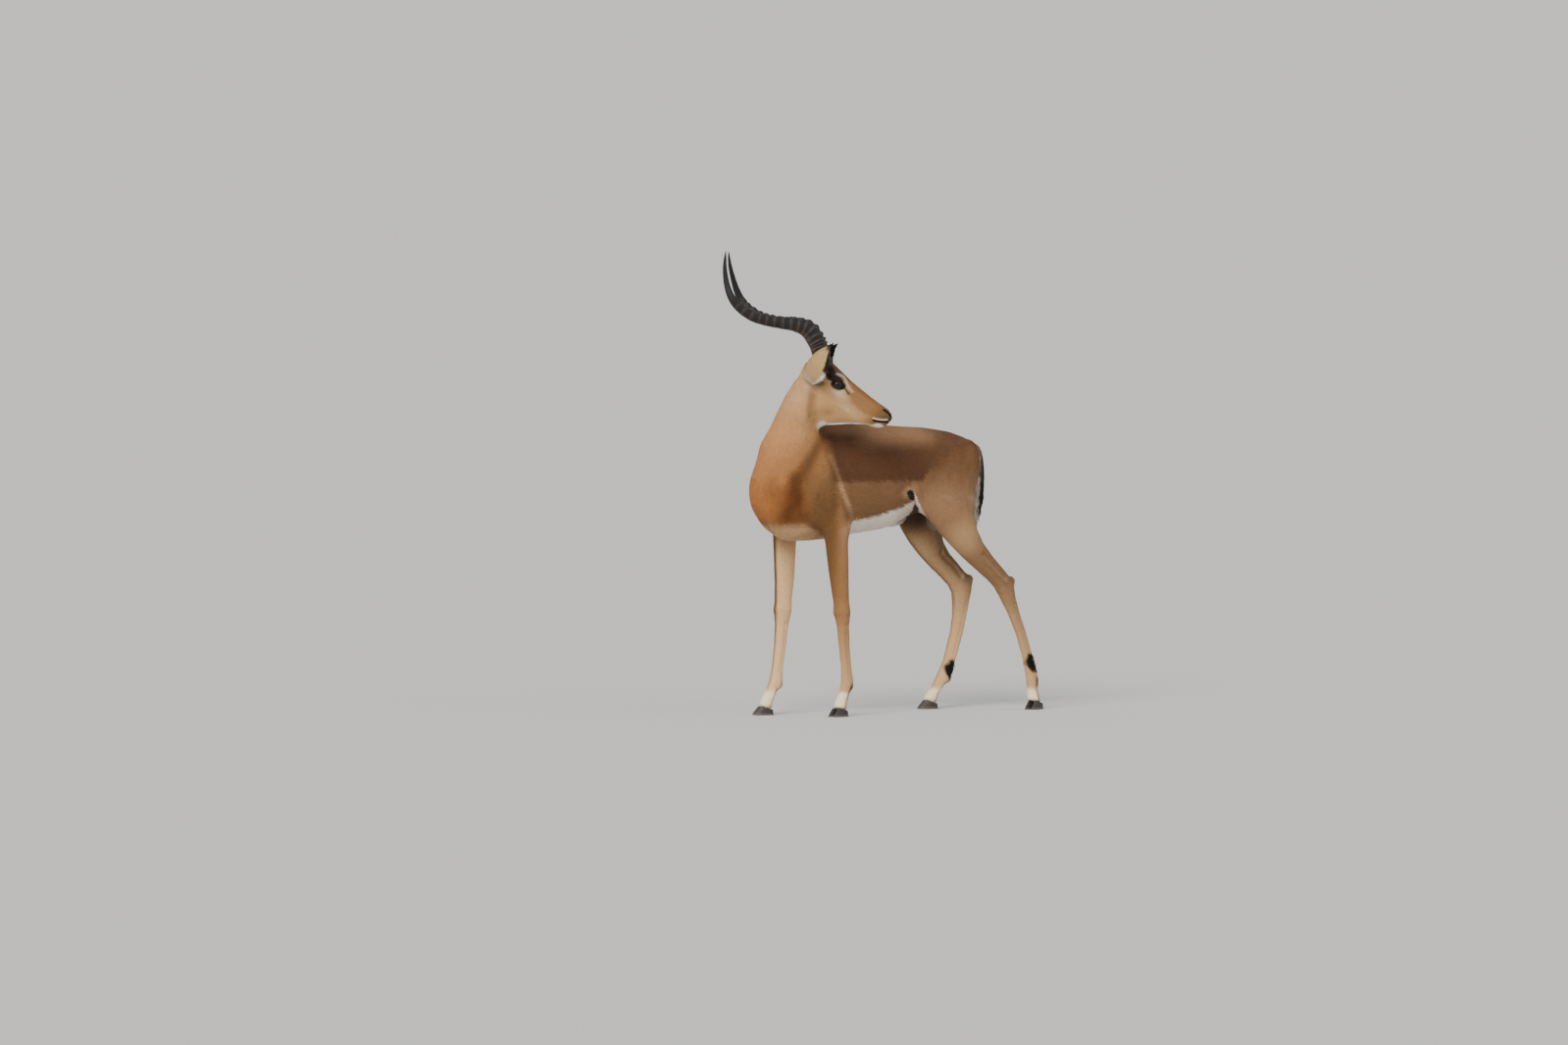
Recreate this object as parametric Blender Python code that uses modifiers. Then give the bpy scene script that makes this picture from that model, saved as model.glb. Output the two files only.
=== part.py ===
"""A life-size impala ram that stands with its head turned back over its left shoulder.

Metres, +Z up, floor at zero. The animal faces -X and its left side is -Y. All its flesh is lofted and
massed as one body, remeshed and eased into one surface, and then parted with thin cuts into trunk, neck,
head and legs. Claws, ears, eyes, horns and tail are pieces of their own.
"""

import math

import bmesh
import bpy
import numpy as np
from mathutils import Matrix, Vector

GAP = 0.0003  # between pieces that touch
SIDES = 24  # points round a lofted section
STEP = 0.014  # between the sections of a loft
VOXEL = 0.0045  # of the remesh that makes the flesh one surface
FLESH_FACES = 4220  # triangles left in all the flesh

# Easing of the remeshed flesh: rounds over all of it, rounds over the trunk, and how far each round goes in
# and back out. Then the rounds that only blend the trunk's masses, and how far each of them goes.
WHOLE_ROUNDS, TRUNK_ROUNDS, EASE_IN, EASE_OUT = 6, 30, 0.60, 0.61
BLENDING_ROUNDS, BLENDING = 45, 0.5
TRUNK_HEIGHTS = (0.45, 0.57, 0.94, 1.02)  # where the trunk's easing begins, is full, fades and ends

# Trunk: place along the body, top of back, underside, half width, height of the widest place.
TRUNK = [
    (-0.524, 0.765, 0.668, 0.030, 0.715),
    (-0.505, 0.805, 0.630, 0.056, 0.715),
    (-0.465, 0.845, 0.585, 0.080, 0.705),
    (-0.400, 0.876, 0.556, 0.096, 0.695),
    (-0.330, 0.900, 0.550, 0.105, 0.700),
    (-0.260, 0.921, 0.554, 0.112, 0.710),
    (-0.160, 0.923, 0.568, 0.125, 0.720),
    (-0.060, 0.918, 0.580, 0.132, 0.725),
    (0.030, 0.910, 0.614, 0.125, 0.740),
    (0.110, 0.905, 0.648, 0.110, 0.775),
    (0.200, 0.891, 0.665, 0.099, 0.790),
    (0.265, 0.869, 0.690, 0.075, 0.795),
    (0.300, 0.848, 0.725, 0.048, 0.795),
    (0.314, 0.825, 0.760, 0.024, 0.793),
]
SPINE_POWER, BELLY_POWER = 1.8, 2.15  # squareness of the back and of the underside

# Muscle and bone masses: centre, radii, and turns in degrees about X, Y and Z. Those off the middle are given
# for the right side and mirrored for the left.
TRUNK_MASSES = [
    ((-0.362, 0, 0.608), (0.100, 0.044, 0.058), (0, -8, 0)),  # brisket between the forelegs
    ((-0.245, 0, 0.880), (0.120, 0.034, 0.042), (0, 3, 0)),  # withers
    ((0.005, 0, 0.600), (0.050, 0.014, 0.016), (0, -14, 0)),  # sheath
    ((0.150, 0, 0.610), (0.030, 0.026, 0.044), (0, 0, 0)),  # scrotum
]
SHOULDER_MASSES = [
    ((-0.300, 0.080, 0.765), (0.066, 0.030, 0.130), (12, 14, 0)),  # shoulder blade
    ((-0.432, 0.062, 0.715), (0.050, 0.036, 0.080), (0, 12, 12)),  # point of the shoulder
]
UPPER_ARM = ((-0.030, 0.093, 0.665), (0.082, 0.034, 0.085), (0, 0, 0))  # its place along is from the leg's line
ELBOW = ((0.036, 0.096, 0.592), (0.022, 0.020, 0.034), (0, 0, 0))
THIGH_MASSES = [
    ((0.100, 0.052, 0.836), (0.090, 0.036, 0.050), (-24, 0, 0)),  # point of the hip
    ((0.075, 0.082, 0.690), (0.052, 0.034, 0.085), (0, -20, 0)),  # front of the thigh and fold of the flank
    ((0.238, 0.058, 0.775), (0.048, 0.040, 0.095), (0, 4, 0)),  # buttock
]

# Neck, from the chest up: centre, the way the throat faces, then half depth behind and before it, half width.
NECK = [
    ((-0.385, 0.000, 0.720), 180, 0.100, 0.112, 0.084),
    ((-0.392, -0.004, 0.780), 184, 0.108, 0.124, 0.090),
    ((-0.392, -0.016, 0.850), 200, 0.106, 0.116, 0.090),
    ((-0.388, -0.042, 0.930), 240, 0.078, 0.084, 0.073),
    ((-0.384, -0.066, 0.990), 280, 0.061, 0.082, 0.060),
    ((-0.370, -0.084, 1.040), 310, 0.050, 0.090, 0.050),
    ((-0.350, -0.096, 1.074), 322, 0.036, 0.080, 0.042),
]

# Foreleg: height, half depth, half width, distance from the body's middle.
FORELEG = [
    (0.660, 0.062, 0.034, 0.090),
    (0.600, 0.056, 0.033, 0.096),
    (0.559, 0.045, 0.030, 0.098),
    (0.490, 0.039, 0.026, 0.098),
    (0.425, 0.0335, 0.0235, 0.098),
    (0.365, 0.0295, 0.0220, 0.098),
    (0.330, 0.0305, 0.0250, 0.098),
    (0.285, 0.0235, 0.0175, 0.098),
    (0.220, 0.0212, 0.0155, 0.098),
    (0.150, 0.0200, 0.0152, 0.099),
    (0.106, 0.0240, 0.0188, 0.100),
    (0.072, 0.0205, 0.0178, 0.100),
    (0.042, 0.0225, 0.0205, 0.100),
    (0.012, 0.0235, 0.0215, 0.100),
]

# Hind leg: the same four sizes.
HINDLEG = [
    (0.860, 0.080, 0.034, 0.048),
    (0.800, 0.106, 0.047, 0.056),
    (0.740, 0.117, 0.052, 0.064),
    (0.680, 0.110, 0.052, 0.072),
    (0.620, 0.092, 0.047, 0.080),
    (0.575, 0.077, 0.041, 0.086),
    (0.535, 0.066, 0.036, 0.090),
    (0.495, 0.059, 0.033, 0.092),
    (0.455, 0.054, 0.030, 0.093),
    (0.420, 0.049, 0.026, 0.093),
    (0.395, 0.043, 0.0245, 0.092),
    (0.370, 0.034, 0.0240, 0.092),
    (0.335, 0.0285, 0.0205, 0.092),
    (0.300, 0.0250, 0.0172, 0.093),
    (0.240, 0.0230, 0.0155, 0.094),
    (0.150, 0.0222, 0.0152, 0.096),
    (0.100, 0.0255, 0.0190, 0.098),
    (0.066, 0.0212, 0.0178, 0.099),
    (0.042, 0.0228, 0.0205, 0.100),
    (0.012, 0.0238, 0.0215, 0.100),
]

# Where the middle of each leg runs: height, place along the body.
LEG_LINES = {
    "foreleg_left": [
        (0.660, -0.280), (0.559, -0.275), (0.425, -0.264), (0.330, -0.254), (0.220, -0.246),
        (0.150, -0.239), (0.106, -0.236), (0.072, -0.248), (0.042, -0.260), (0.012, -0.266),
    ],
    "foreleg_right": [
        (0.660, -0.330), (0.559, -0.344), (0.425, -0.346), (0.330, -0.352), (0.220, -0.362),
        (0.150, -0.371), (0.106, -0.376), (0.072, -0.396), (0.042, -0.412), (0.012, -0.420),
    ],
    "hindleg_left": [
        (0.860, 0.180), (0.800, 0.160), (0.740, 0.150), (0.680, 0.149), (0.620, 0.162),
        (0.575, 0.184), (0.535, 0.215), (0.495, 0.252), (0.455, 0.296), (0.420, 0.335),
        (0.395, 0.356), (0.370, 0.366), (0.300, 0.396), (0.240, 0.421), (0.150, 0.449),
        (0.100, 0.459), (0.066, 0.460), (0.042, 0.463), (0.012, 0.468),
    ],
    "hindleg_right": [
        (0.860, 0.180), (0.800, 0.160), (0.740, 0.149), (0.680, 0.142), (0.620, 0.145),
        (0.575, 0.158), (0.535, 0.178), (0.495, 0.209), (0.455, 0.250), (0.420, 0.288),
        (0.395, 0.308), (0.370, 0.314), (0.300, 0.308), (0.240, 0.297), (0.150, 0.270),
        (0.100, 0.249), (0.066, 0.224), (0.042, 0.205), (0.012, 0.197),
    ],
}
# Bone ends down each leg: height, distance from the body's middle, centre in the leg's frame, radii and turns.
FETLOCK_MASS = (0.098, 0.099, (-0.002, 0, -0.011), (0.0165, 0.0150, 0.0175), (0, 0, 0))
JOINT_MASSES = {
    "foreleg": [(0.332, 0.098, (0, 0, 0.006), (0.026, 0.0235, 0.030), (0, 0, 0)), FETLOCK_MASS],  # knee first
    "hindleg": [(0.398, 0.092, (0.006, 0, -0.026), (0.021, 0.0155, 0.026), (0, 35, 0)), FETLOCK_MASS],  # hock first
}
TOE_OUT = {"foreleg": math.radians(12), "hindleg": math.radians(22)}
TURN_FROM, TURN_TO = 0.50, 0.34  # heights between which a leg turns its toes out

# Head: placed by its occiput, looking over the left shoulder and a little down.
HEAD_AT = Vector((-0.362, -0.092, 1.069))
HEAD_YAW, HEAD_PITCH, HEAD_ROLL = math.radians(-38), math.radians(27), math.radians(-2.5)
HEAD = (
    Matrix.Translation(HEAD_AT)
    @ Matrix.Rotation(HEAD_YAW, 4, "Z")
    @ Matrix.Rotation(HEAD_PITCH, 4, "Y")
    @ Matrix.Rotation(HEAD_ROLL, 4, "X")
)
# Skull and jaw: place along the head, top, underside, half width, height of the widest place.
SKULL = [
    (-0.040, 0.036, -0.040, 0.026, 0.005),
    (-0.026, 0.054, -0.070, 0.040, 0.008),
    (0.000, 0.072, -0.096, 0.048, 0.010),
    (0.040, 0.073, -0.114, 0.051, 0.012),
    (0.080, 0.0610, -0.119, 0.049, 0.010),
    (0.115, 0.0500, -0.108, 0.043, 0.004),
    (0.150, 0.0420, -0.0885, 0.0360, -0.004),
    (0.190, 0.0345, -0.0680, 0.0300, -0.010),
    (0.215, 0.0310, -0.0575, 0.0270, -0.013),
    (0.240, 0.0285, -0.0560, 0.0255, -0.013),
    (0.258, 0.0265, -0.0500, 0.0245, -0.012),
    (0.274, 0.0220, -0.0400, 0.0215, -0.008),
    (0.287, 0.0110, -0.0160, 0.0140, -0.002),
]
FACE_POWER, JAW_POWER = 2.1, 1.65  # squareness of the face above and of the jaw below
MIDDLE_HEAD_MASSES = [
    ((0.058, 0, -0.092), (0.064, 0.032, 0.047), (0, -10, 0)),  # throat
    ((0.264, 0, 0.000), (0.020, 0.0235, 0.017), (0, 16, 0)),  # nose pad
]
SIDE_HEAD_MASSES = [
    ((0.081, 0.036, 0.022), (0.034, 0.021, 0.026), (0, 12, -8)),  # orbit
    ((0.050, 0.030, -0.042), (0.056, 0.020, 0.046), (0, 18, 4)),  # cheek
    ((0.004, 0.036, 0.018), (0.026, 0.018, 0.024), (0, 0, 0)),  # ear root
    ((0.000, 0.023, 0.058), (0.028, 0.024, 0.030), (0, -25, 0)),  # horn seat
]

# Cuts between head, neck, trunk and legs. A block's corners are in its own frame. A leg's block starts beside
# the body's middle, at a height there, and its top rises outwards by the slope.
SKULL_CUT_X, SKULL_CUT_TURN = -0.018, Matrix.Rotation(math.radians(-22), 4, "Y")
SKULL_BLOCK = ((0, -0.085, -0.15), (0.33, 0.085, 0.15))
NECK_CUT, NECK_CUT_TURN = (-0.395, 0, 0.835), Matrix.Rotation(math.radians(-32), 4, "Y")
NECK_BLOCK = ((-0.3, -0.3, 0), (0.3, 0.3, 0.5))
FORELEG_CUT, FORELEG_SLOPE, FORELEG_REACH, FORELEG_BLOCK_AT = (0.030, 0.556), 0.75, 0.14, 0.50
HINDLEG_CUT, HINDLEG_SLOPE, HINDLEG_REACH, HINDLEG_BLOCK_X = (0.012, 0.640), 1.1, (-0.235, 0.36), 0.24
LEG_DROP, LEG_SPREAD = 0.70, 0.25

EYE_AT, EYE_RADIUS = Vector((0.0820, 0.0415, 0.0190)), 0.0175
LID_OPENING = (0.0185, 0.0300, 0.0125)  # half length, depth and half height of the opening between the lids
LID_OUT = 0.024  # how far out of the eye's middle the opening's own middle is

EAR_ROOT = Vector((-0.006, 0.046, -0.010))
EAR_TURN = (14, 9, 48)  # out, forward and round, in degrees
EAR_LENGTH, EAR_WIDTH, EAR_THICKNESS, EAR_LEAN = 0.147, 0.078, 0.0045, 0.012
EAR_ROLL = (112, 50)  # half the arc of the cupped leaf at its root and its tip, in degrees
EAR_OUTLINE = [(0.0, 0.58), (0.18, 0.86), (0.40, 1.0), (0.62, 0.86), (0.82, 0.48), (0.94, 0.20), (1.0, 0.04)]
# The front half of the leaf is wider and flatter: share along, times the width, and half arc.
EAR_FRONT = [(0.0, 1.60, 62), (0.30, 1.85, 42), (0.55, 1.60, 38), (0.80, 1.15, 38), (1.0, 1.0, 40)]

# Horn, from its seat to its tip: a point of its middle line in the head's frame, for the left side, and its
# half depth and half width there.
HORN = [
    ((0.022, 0.024, 0.046), 0.0250, 0.0220),
    ((-0.020, 0.028, 0.091), 0.0260, 0.0220),
    ((-0.041, 0.031, 0.109), 0.0265, 0.0220),
    ((-0.079, 0.042, 0.130), 0.0265, 0.0215),
    ((-0.120, 0.062, 0.127), 0.0222, 0.0203),
    ((-0.164, 0.088, 0.111), 0.0185, 0.0183),
    ((-0.208, 0.112, 0.098), 0.0176, 0.0176),
    ((-0.248, 0.135, 0.092), 0.0166, 0.0166),
    ((-0.293, 0.150, 0.098), 0.0148, 0.0148),
    ((-0.326, 0.158, 0.113), 0.0128, 0.0128),
    ((-0.353, 0.150, 0.135), 0.0106, 0.0106),
    ((-0.376, 0.130, 0.161), 0.0086, 0.0086),
    ((-0.396, 0.100, 0.188), 0.0066, 0.0066),
    ((-0.410, 0.072, 0.212), 0.0044, 0.0044),
    ((-0.420, 0.052, 0.232), 0.0012, 0.0012),
]
HORN_SIDES, HORN_RINGS = 10, 34
RIDGED_RINGS, RIDGE_SWELL = 22, 1.06  # every other one of these rings is a ridge

CLAW_LENGTH, CLAW_WIDTH = 0.065, 0.0215
CORONET_FRONT, CORONET_HEEL = 0.031, 0.019  # height of the coronet before and behind
CLAW_PARTING = 0.0030  # between the two claws of a foot
# A claw from its sole up: share of its height, times its length, times its width, and how far forward it sits.
CLAW_LEVELS = [(0.0, 1.0, 1.0, 0.0040), (0.14, 1.01, 1.05, 0.0040), (1.0, 0.66, 0.90, -0.0050)]
CLAW_SIDES = 12
CLAW_POINT, CLAW_INNER = 0.50, 0.80  # how far the toe narrows, and the width of the half beside the other claw
CORONET_SHARE = 0.72  # of the claw's length that the coronet slopes over
FOOT_BLOCK = ((-0.08, -0.06, -0.08), (0.08, 0.06, 0))  # cut off a leg under its coronet
CLAW_FEET = 0.100  # a foot's distance from the body's middle

# Tail: points of its middle line and its half thickness there.
TAIL = [
    ((0.280, 0.0, 0.843), 0.016),
    ((0.306, 0.0, 0.830), 0.016),
    ((0.322, 0.0, 0.800), 0.014),
    ((0.326, 0.0, 0.740), 0.015),
    ((0.319, 0.0, 0.680), 0.017),
    ((0.308, 0.0, 0.625), 0.012),
    ((0.303, 0.0, 0.598), 0.004),
]

COLOURS = {
    "coat": ((0.50, 0.24, 0.09), 0.80),
    "leg": ((0.56, 0.33, 0.16), 0.80),
    "horn": ((0.035, 0.028, 0.024), 0.50),
    "hoof": ((0.05, 0.045, 0.045), 0.45),
    "eye": ((0.02, 0.012, 0.008), 0.08),
}


def clear_scene():
    for obj in list(bpy.data.objects):
        bpy.data.objects.remove(obj, do_unlink=True)


def material(name, finish):
    colour, roughness = COLOURS[finish]
    made = bpy.data.materials.new(name)
    made.use_nodes = True
    shader = made.node_tree.nodes["Principled BSDF"]
    shader.inputs["Base Color"].default_value = (*colour, 1.0)
    shader.inputs["Roughness"].default_value = roughness
    return made


def mesh_of(bm, name):
    """The bmesh as a mesh whose faces point out."""
    bm.normal_update()
    bmesh.ops.recalc_face_normals(bm, faces=bm.faces)
    mesh = bpy.data.meshes.new(name)
    bm.to_mesh(mesh)
    bm.free()
    return mesh


def helper(name, mesh):
    """An object that is only worked with, hidden from the model."""
    obj = bpy.data.objects.new(name, mesh)
    obj.hide_render = True
    obj.display_type = "WIRE"
    CUTTERS.objects.link(obj)
    return obj


def applied(obj):
    """The mesh that the object's modifiers make. The object is removed."""
    graph = bpy.context.evaluated_depsgraph_get()
    mesh = bpy.data.meshes.new_from_object(obj.evaluated_get(graph))
    bpy.data.objects.remove(obj, do_unlink=True)
    return mesh


def combined(mesh, other, operation):
    """The two meshes' Boolean intersection, difference or union."""
    worked = helper("worked", mesh)
    cutter = helper("cutter", other)
    boolean = worked.modifiers.new("Boolean", "BOOLEAN")
    boolean.operation = operation
    boolean.object = cutter
    boolean.solver = "EXACT"
    result = applied(worked)
    bpy.data.objects.remove(cutter, do_unlink=True)
    return result


def joined_flats(mesh):
    """The mesh with the triangles of each flat, such as a cut, made one face."""
    bm = bmesh.new()
    bm.from_mesh(mesh)
    bmesh.ops.dissolve_limit(bm, angle_limit=math.radians(0.3), verts=bm.verts, edges=bm.edges)
    return mesh_of(bm, mesh.name)


def grown(mesh, by):
    """A copy of a mesh with its surface moved out."""
    bm = bmesh.new()
    bm.from_mesh(mesh)
    bm.normal_update()
    moved = [vert.co + vert.normal * by * vert.calc_shell_factor() for vert in bm.verts]
    for vert, place in zip(bm.verts, moved):
        vert.co = place
    return mesh_of(bm, mesh.name + "_grown")


def node(name, mesh, finish, smooth=True):
    """A finished piece of the animal."""
    obj = bpy.data.objects.new(name, mesh)
    mesh.materials.clear()
    mesh.materials.append(material(name + "_finish", finish))
    if smooth:
        mesh.shade_smooth()
    ANIMAL.objects.link(obj)
    return obj


def between(rows, step=STEP):
    """The rows with others worked out between them, so that none is much over a step from the next."""
    table = np.array(rows)
    place = table[:, 0]
    count = max(2, int(abs(place[-1] - place[0]) / step) + 1)
    wanted = np.union1d(np.linspace(place[0], place[-1], count), place)
    order = np.argsort(place)
    columns = [np.interp(wanted, place[order], column[order]) for column in table.T[1:]]
    return np.column_stack([wanted, *columns])


def ring(bm, frame, half_width, rise, drop, upper=2.0, lower=2.0, sides=SIDES):
    """A closed section across the frame's X: its Y is the width, and its Z the rise above and the drop below."""
    verts = bmesh.ops.create_circle(bm, segments=sides, radius=1.0)["verts"]
    for vert in verts:
        across, along = vert.co.x, vert.co.y
        power = upper if along > 0 else lower
        height = rise if along > 0 else drop
        across = math.copysign(abs(across) ** (2 / power), across) * half_width
        along = math.copysign(abs(along) ** (2 / power), along) * height
        vert.co = frame @ Vector((0, across, along))
    return verts


def loft(bm, rings):
    """Skins the rings in order and closes both ends."""
    for first, second in zip(rings, rings[1:]):
        for i in range(len(first)):
            j = (i + 1) % len(first)
            bm.faces.new((first[i], first[j], second[j], second[i]))
    bm.faces.new(rings[0][::-1])
    bm.faces.new(rings[-1])


def mass(bm, centre, radii, turn, side=1, place=Matrix.Identity(4)):
    """A muscle or bone mass: an ellipsoid turned by degrees about X, Y and Z, and mirrored where side is -1."""
    turned = Matrix.Identity(4)
    for angle, axis in zip((side * turn[0], turn[1], side * turn[2]), "XYZ"):
        turned = Matrix.Rotation(math.radians(angle), 4, axis) @ turned
    centre = Vector((centre[0], side * centre[1], centre[2]))
    matrix = place @ Matrix.Translation(centre) @ turned @ Matrix.Diagonal((*radii, 1.0))
    bmesh.ops.create_icosphere(bm, subdivisions=3, radius=1.0, matrix=matrix)


def add_trunk(bm):
    rings = []
    for x, top, under, half_width, widest in between(TRUNK):
        frame = Matrix.Translation((x, 0, widest))
        rings.append(
            ring(bm, frame, half_width, top - widest, widest - under, SPINE_POWER, BELLY_POWER)
        )
    loft(bm, rings)
    for centre, radii, turn in TRUNK_MASSES:
        mass(bm, centre, radii, turn)


def add_shoulder(bm, name, side):
    """Shoulder blade, upper arm, elbow and point of the shoulder, lying on the ribs over a foreleg."""
    for centre, radii, turn in SHOULDER_MASSES:
        mass(bm, centre, radii, turn, side)
    for (along, across, height), radii, turn in (UPPER_ARM, ELBOW):
        mass(bm, (leg_x(name, height) + along, across, height), radii, turn, side)


def add_thigh(bm, side):
    """Point of the hip, front of the thigh, with its fold of skin to the flank, and buttock."""
    for centre, radii, turn in THIGH_MASSES:
        mass(bm, centre, radii, turn, side)


def leg_frame(name, height, x, distance):
    """Frame of a leg's section: level, with its Z forward, and turned as far as the toes are at its height."""
    side = -1 if name.endswith("left") else 1
    share = min(1.0, max(0.0, (TURN_FROM - height) / (TURN_FROM - TURN_TO)))
    turn = -side * TOE_OUT[name.split("_")[0]] * share
    level = Matrix(((0, 0, -1), (0, 1, 0), (1, 0, 0))).to_4x4()
    return Matrix.Translation((x, side * distance, height)) @ Matrix.Rotation(turn, 4, "Z") @ level


def leg_x(name, height):
    heights, places = zip(*reversed(LEG_LINES[name]))
    return float(np.interp(height, heights, places))


def add_leg(bm, name):
    sizes = FORELEG if name.startswith("fore") else HINDLEG
    rings = []
    for height, half_depth, half_width, distance in between(sizes):
        frame = leg_frame(name, height, leg_x(name, height), distance)
        rings.append(ring(bm, frame, half_width, half_depth, half_depth))
    loft(bm, rings)
    side = -1 if name.endswith("left") else 1
    if name.startswith("fore"):
        add_shoulder(bm, name, side)
    else:
        add_thigh(bm, side)
    for height, distance, centre, radii, turn in JOINT_MASSES[name.split("_")[0]]:
        frame = leg_frame(name, height, leg_x(name, height), distance)
        mass(bm, frame @ Vector(centre), radii, turn)


def add_neck(bm):
    table = [(i, *row[0], row[1], *row[2:]) for i, row in enumerate(NECK)]
    rows = between(table, 0.2)
    places = [Vector(row[1:4]) for row in rows]
    rings = []
    for i, (place, row) in enumerate(zip(places, rows)):
        up = (places[min(i + 1, len(rows) - 1)] - places[max(i - 1, 0)]).normalized()
        throat = Vector((math.cos(math.radians(row[4])), math.sin(math.radians(row[4])), 0))
        across = throat.cross(up).normalized()
        nape = across.cross(up).normalized()
        if nape.dot(throat) > 0:
            nape = -nape
        frame = Matrix((up, across, nape)).transposed().to_4x4()
        behind, before, half_width = row[5:]
        rings.append(
            ring(bm, Matrix.Translation(place) @ frame, half_width, behind, before, 1.9, 2.0)
        )
    loft(bm, rings)


def add_head(bm):
    rings = []
    for x, top, under, half_width, widest in between(SKULL, 0.010):
        frame = HEAD @ Matrix.Translation((x, 0, widest))
        rings.append(
            ring(bm, frame, half_width, top - widest, widest - under, FACE_POWER, JAW_POWER)
        )
    loft(bm, rings)
    for centre, radii, turn in MIDDLE_HEAD_MASSES:
        mass(bm, centre, radii, turn, 1, HEAD)
    for centre, radii, turn in SIDE_HEAD_MASSES:
        for side in (1, -1):
            mass(bm, centre, radii, turn, side, HEAD)


def eased(mesh):
    """The mesh smoothed without shrinking, and most over the trunk, where the masses have to flow together."""
    count = len(mesh.vertices)
    points = np.empty(count * 3)
    mesh.vertices.foreach_get("co", points)
    points = points.reshape(-1, 3)
    ends = np.empty(len(mesh.edges) * 2, np.int64)
    mesh.edges.foreach_get("vertices", ends)
    first, second = ends.reshape(-1, 2).T
    degree = np.bincount(first, minlength=count) + np.bincount(second, minlength=count)
    low, full, fading, high = TRUNK_HEIGHTS
    trunk = np.clip((points[:, 2] - low) / (full - low), 0, 1)
    trunk *= np.clip((high - points[:, 2]) / (high - fading), 0, 1)

    def pull(amount):
        total = np.zeros_like(points)
        for axis in range(3):
            total[:, axis] = np.bincount(first, points[second, axis], count)
            total[:, axis] += np.bincount(second, points[first, axis], count)
        return points + amount * (total / degree[:, None] - points)

    for turn in range(TRUNK_ROUNDS):
        share = (trunk if turn >= WHOLE_ROUNDS else np.ones(count))[:, None]
        points = points + share * (pull(EASE_IN) - points)
        points = points + share * (pull(-EASE_OUT) - points)
    for turn in range(BLENDING_ROUNDS):
        points = points + trunk[:, None] * (pull(BLENDING) - points)
    mesh.vertices.foreach_set("co", points.ravel())
    mesh.update()
    return mesh


def flesh():
    """All the flesh as one closed surface of FLESH_FACES triangles."""
    bm = bmesh.new()
    add_trunk(bm)
    add_neck(bm)
    add_head(bm)
    for name in LEG_LINES:
        add_leg(bm, name)
    body = helper("flesh", mesh_of(bm, "flesh"))
    remesh = body.modifiers.new("Remesh", "REMESH")
    remesh.mode = "VOXEL"
    remesh.voxel_size = VOXEL
    body = helper("flesh", eased(applied(body)))
    triangles = sum(len(face.vertices) - 2 for face in body.data.polygons)
    thin = body.modifiers.new("Decimate", "DECIMATE")
    thin.ratio = FLESH_FACES / triangles
    thin.use_collapse_triangulate = True
    return applied(body)


def block(frame, low, high, by=0.0, slope=0.0):
    """A box in a frame, from its low corner to its high one, grown by a margin. Its top may rise along Y."""
    bm = bmesh.new()
    bmesh.ops.create_cube(bm, size=1.0)
    low, high = Vector(low) - Vector((by,) * 3), Vector(high) + Vector((by,) * 3)
    for vert in bm.verts:
        place = Vector([low[i] if vert.co[i] < 0 else high[i] for i in range(3)])
        if vert.co.z > 0:
            place.z += slope * place.y
        vert.co = frame @ place
    return mesh_of(bm, "block")


def parting_blocks():
    """Each part of the flesh that is cut off, with the frame, corners and slope of the block that it fills."""
    yield "head", HEAD @ Matrix.Translation((SKULL_CUT_X, 0, 0)) @ SKULL_CUT_TURN, *SKULL_BLOCK, 0.0
    yield "neck", Matrix.Translation(NECK_CUT) @ NECK_CUT_TURN, *NECK_BLOCK, 0.0
    for name in LEG_LINES:
        side = -1 if name.endswith("left") else 1
        outward = Matrix.Rotation(0 if side > 0 else math.pi, 4, "Z")
        if name.startswith("fore"):
            place = Matrix.Translation((leg_x(name, FORELEG_BLOCK_AT), side * FORELEG_CUT[0], FORELEG_CUT[1]))
            reach = FORELEG_REACH
            yield name, place @ outward, (-reach, 0, -LEG_DROP), (reach, LEG_SPREAD, 0), FORELEG_SLOPE
        else:
            place = Matrix.Translation((HINDLEG_BLOCK_X, side * HINDLEG_CUT[0], HINDLEG_CUT[1]))
            front, rear = HINDLEG_REACH if side > 0 else [-reach for reach in reversed(HINDLEG_REACH)]
            yield name, place @ outward, (front, 0, -LEG_DROP), (rear, LEG_SPREAD, 0), HINDLEG_SLOPE


def foot_frame(name):
    """Frame of a foot on the floor: X towards the toes, Z up."""
    side = -1 if name.endswith("left") else 1
    turn = math.pi - side * TOE_OUT[name.split("_")[0]]
    return Matrix.Translation((LEG_LINES[name][-1][1], side * CLAW_FEET, 0)) @ Matrix.Rotation(turn, 4, "Z")


def coronet_tilt():
    return math.atan2(CORONET_FRONT - CORONET_HEEL, CLAW_LENGTH * CORONET_SHARE)


def claw(name, half):
    """One of a foot's two claws: a pointed sole on the floor, drawn up and back to the coronet."""
    bm = bmesh.new()
    frame = foot_frame(name)
    outward = half * (CLAW_WIDTH + CLAW_PARTING) / 2
    rings = []
    for share, length, width, forward in CLAW_LEVELS:
        verts = bmesh.ops.create_circle(bm, segments=CLAW_SIDES, radius=1.0)["verts"]
        for vert in verts:
            toe, across = vert.co.x, vert.co.y
            point = 1 - CLAW_POINT * max(toe, 0) ** 2
            flat = CLAW_INNER if across * half < 0 else 1.0
            x = toe * length * CLAW_LENGTH / 2 + forward
            y = across * width * CLAW_WIDTH / 2 * point * flat + outward
            middle = (CORONET_FRONT + CORONET_HEEL) / 2 - GAP
            z = share * (middle + math.tan(coronet_tilt()) * x)
            vert.co = frame @ Vector((x, y, z))
        rings.append(verts)
    loft(bm, rings)
    return mesh_of(bm, name)


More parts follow.
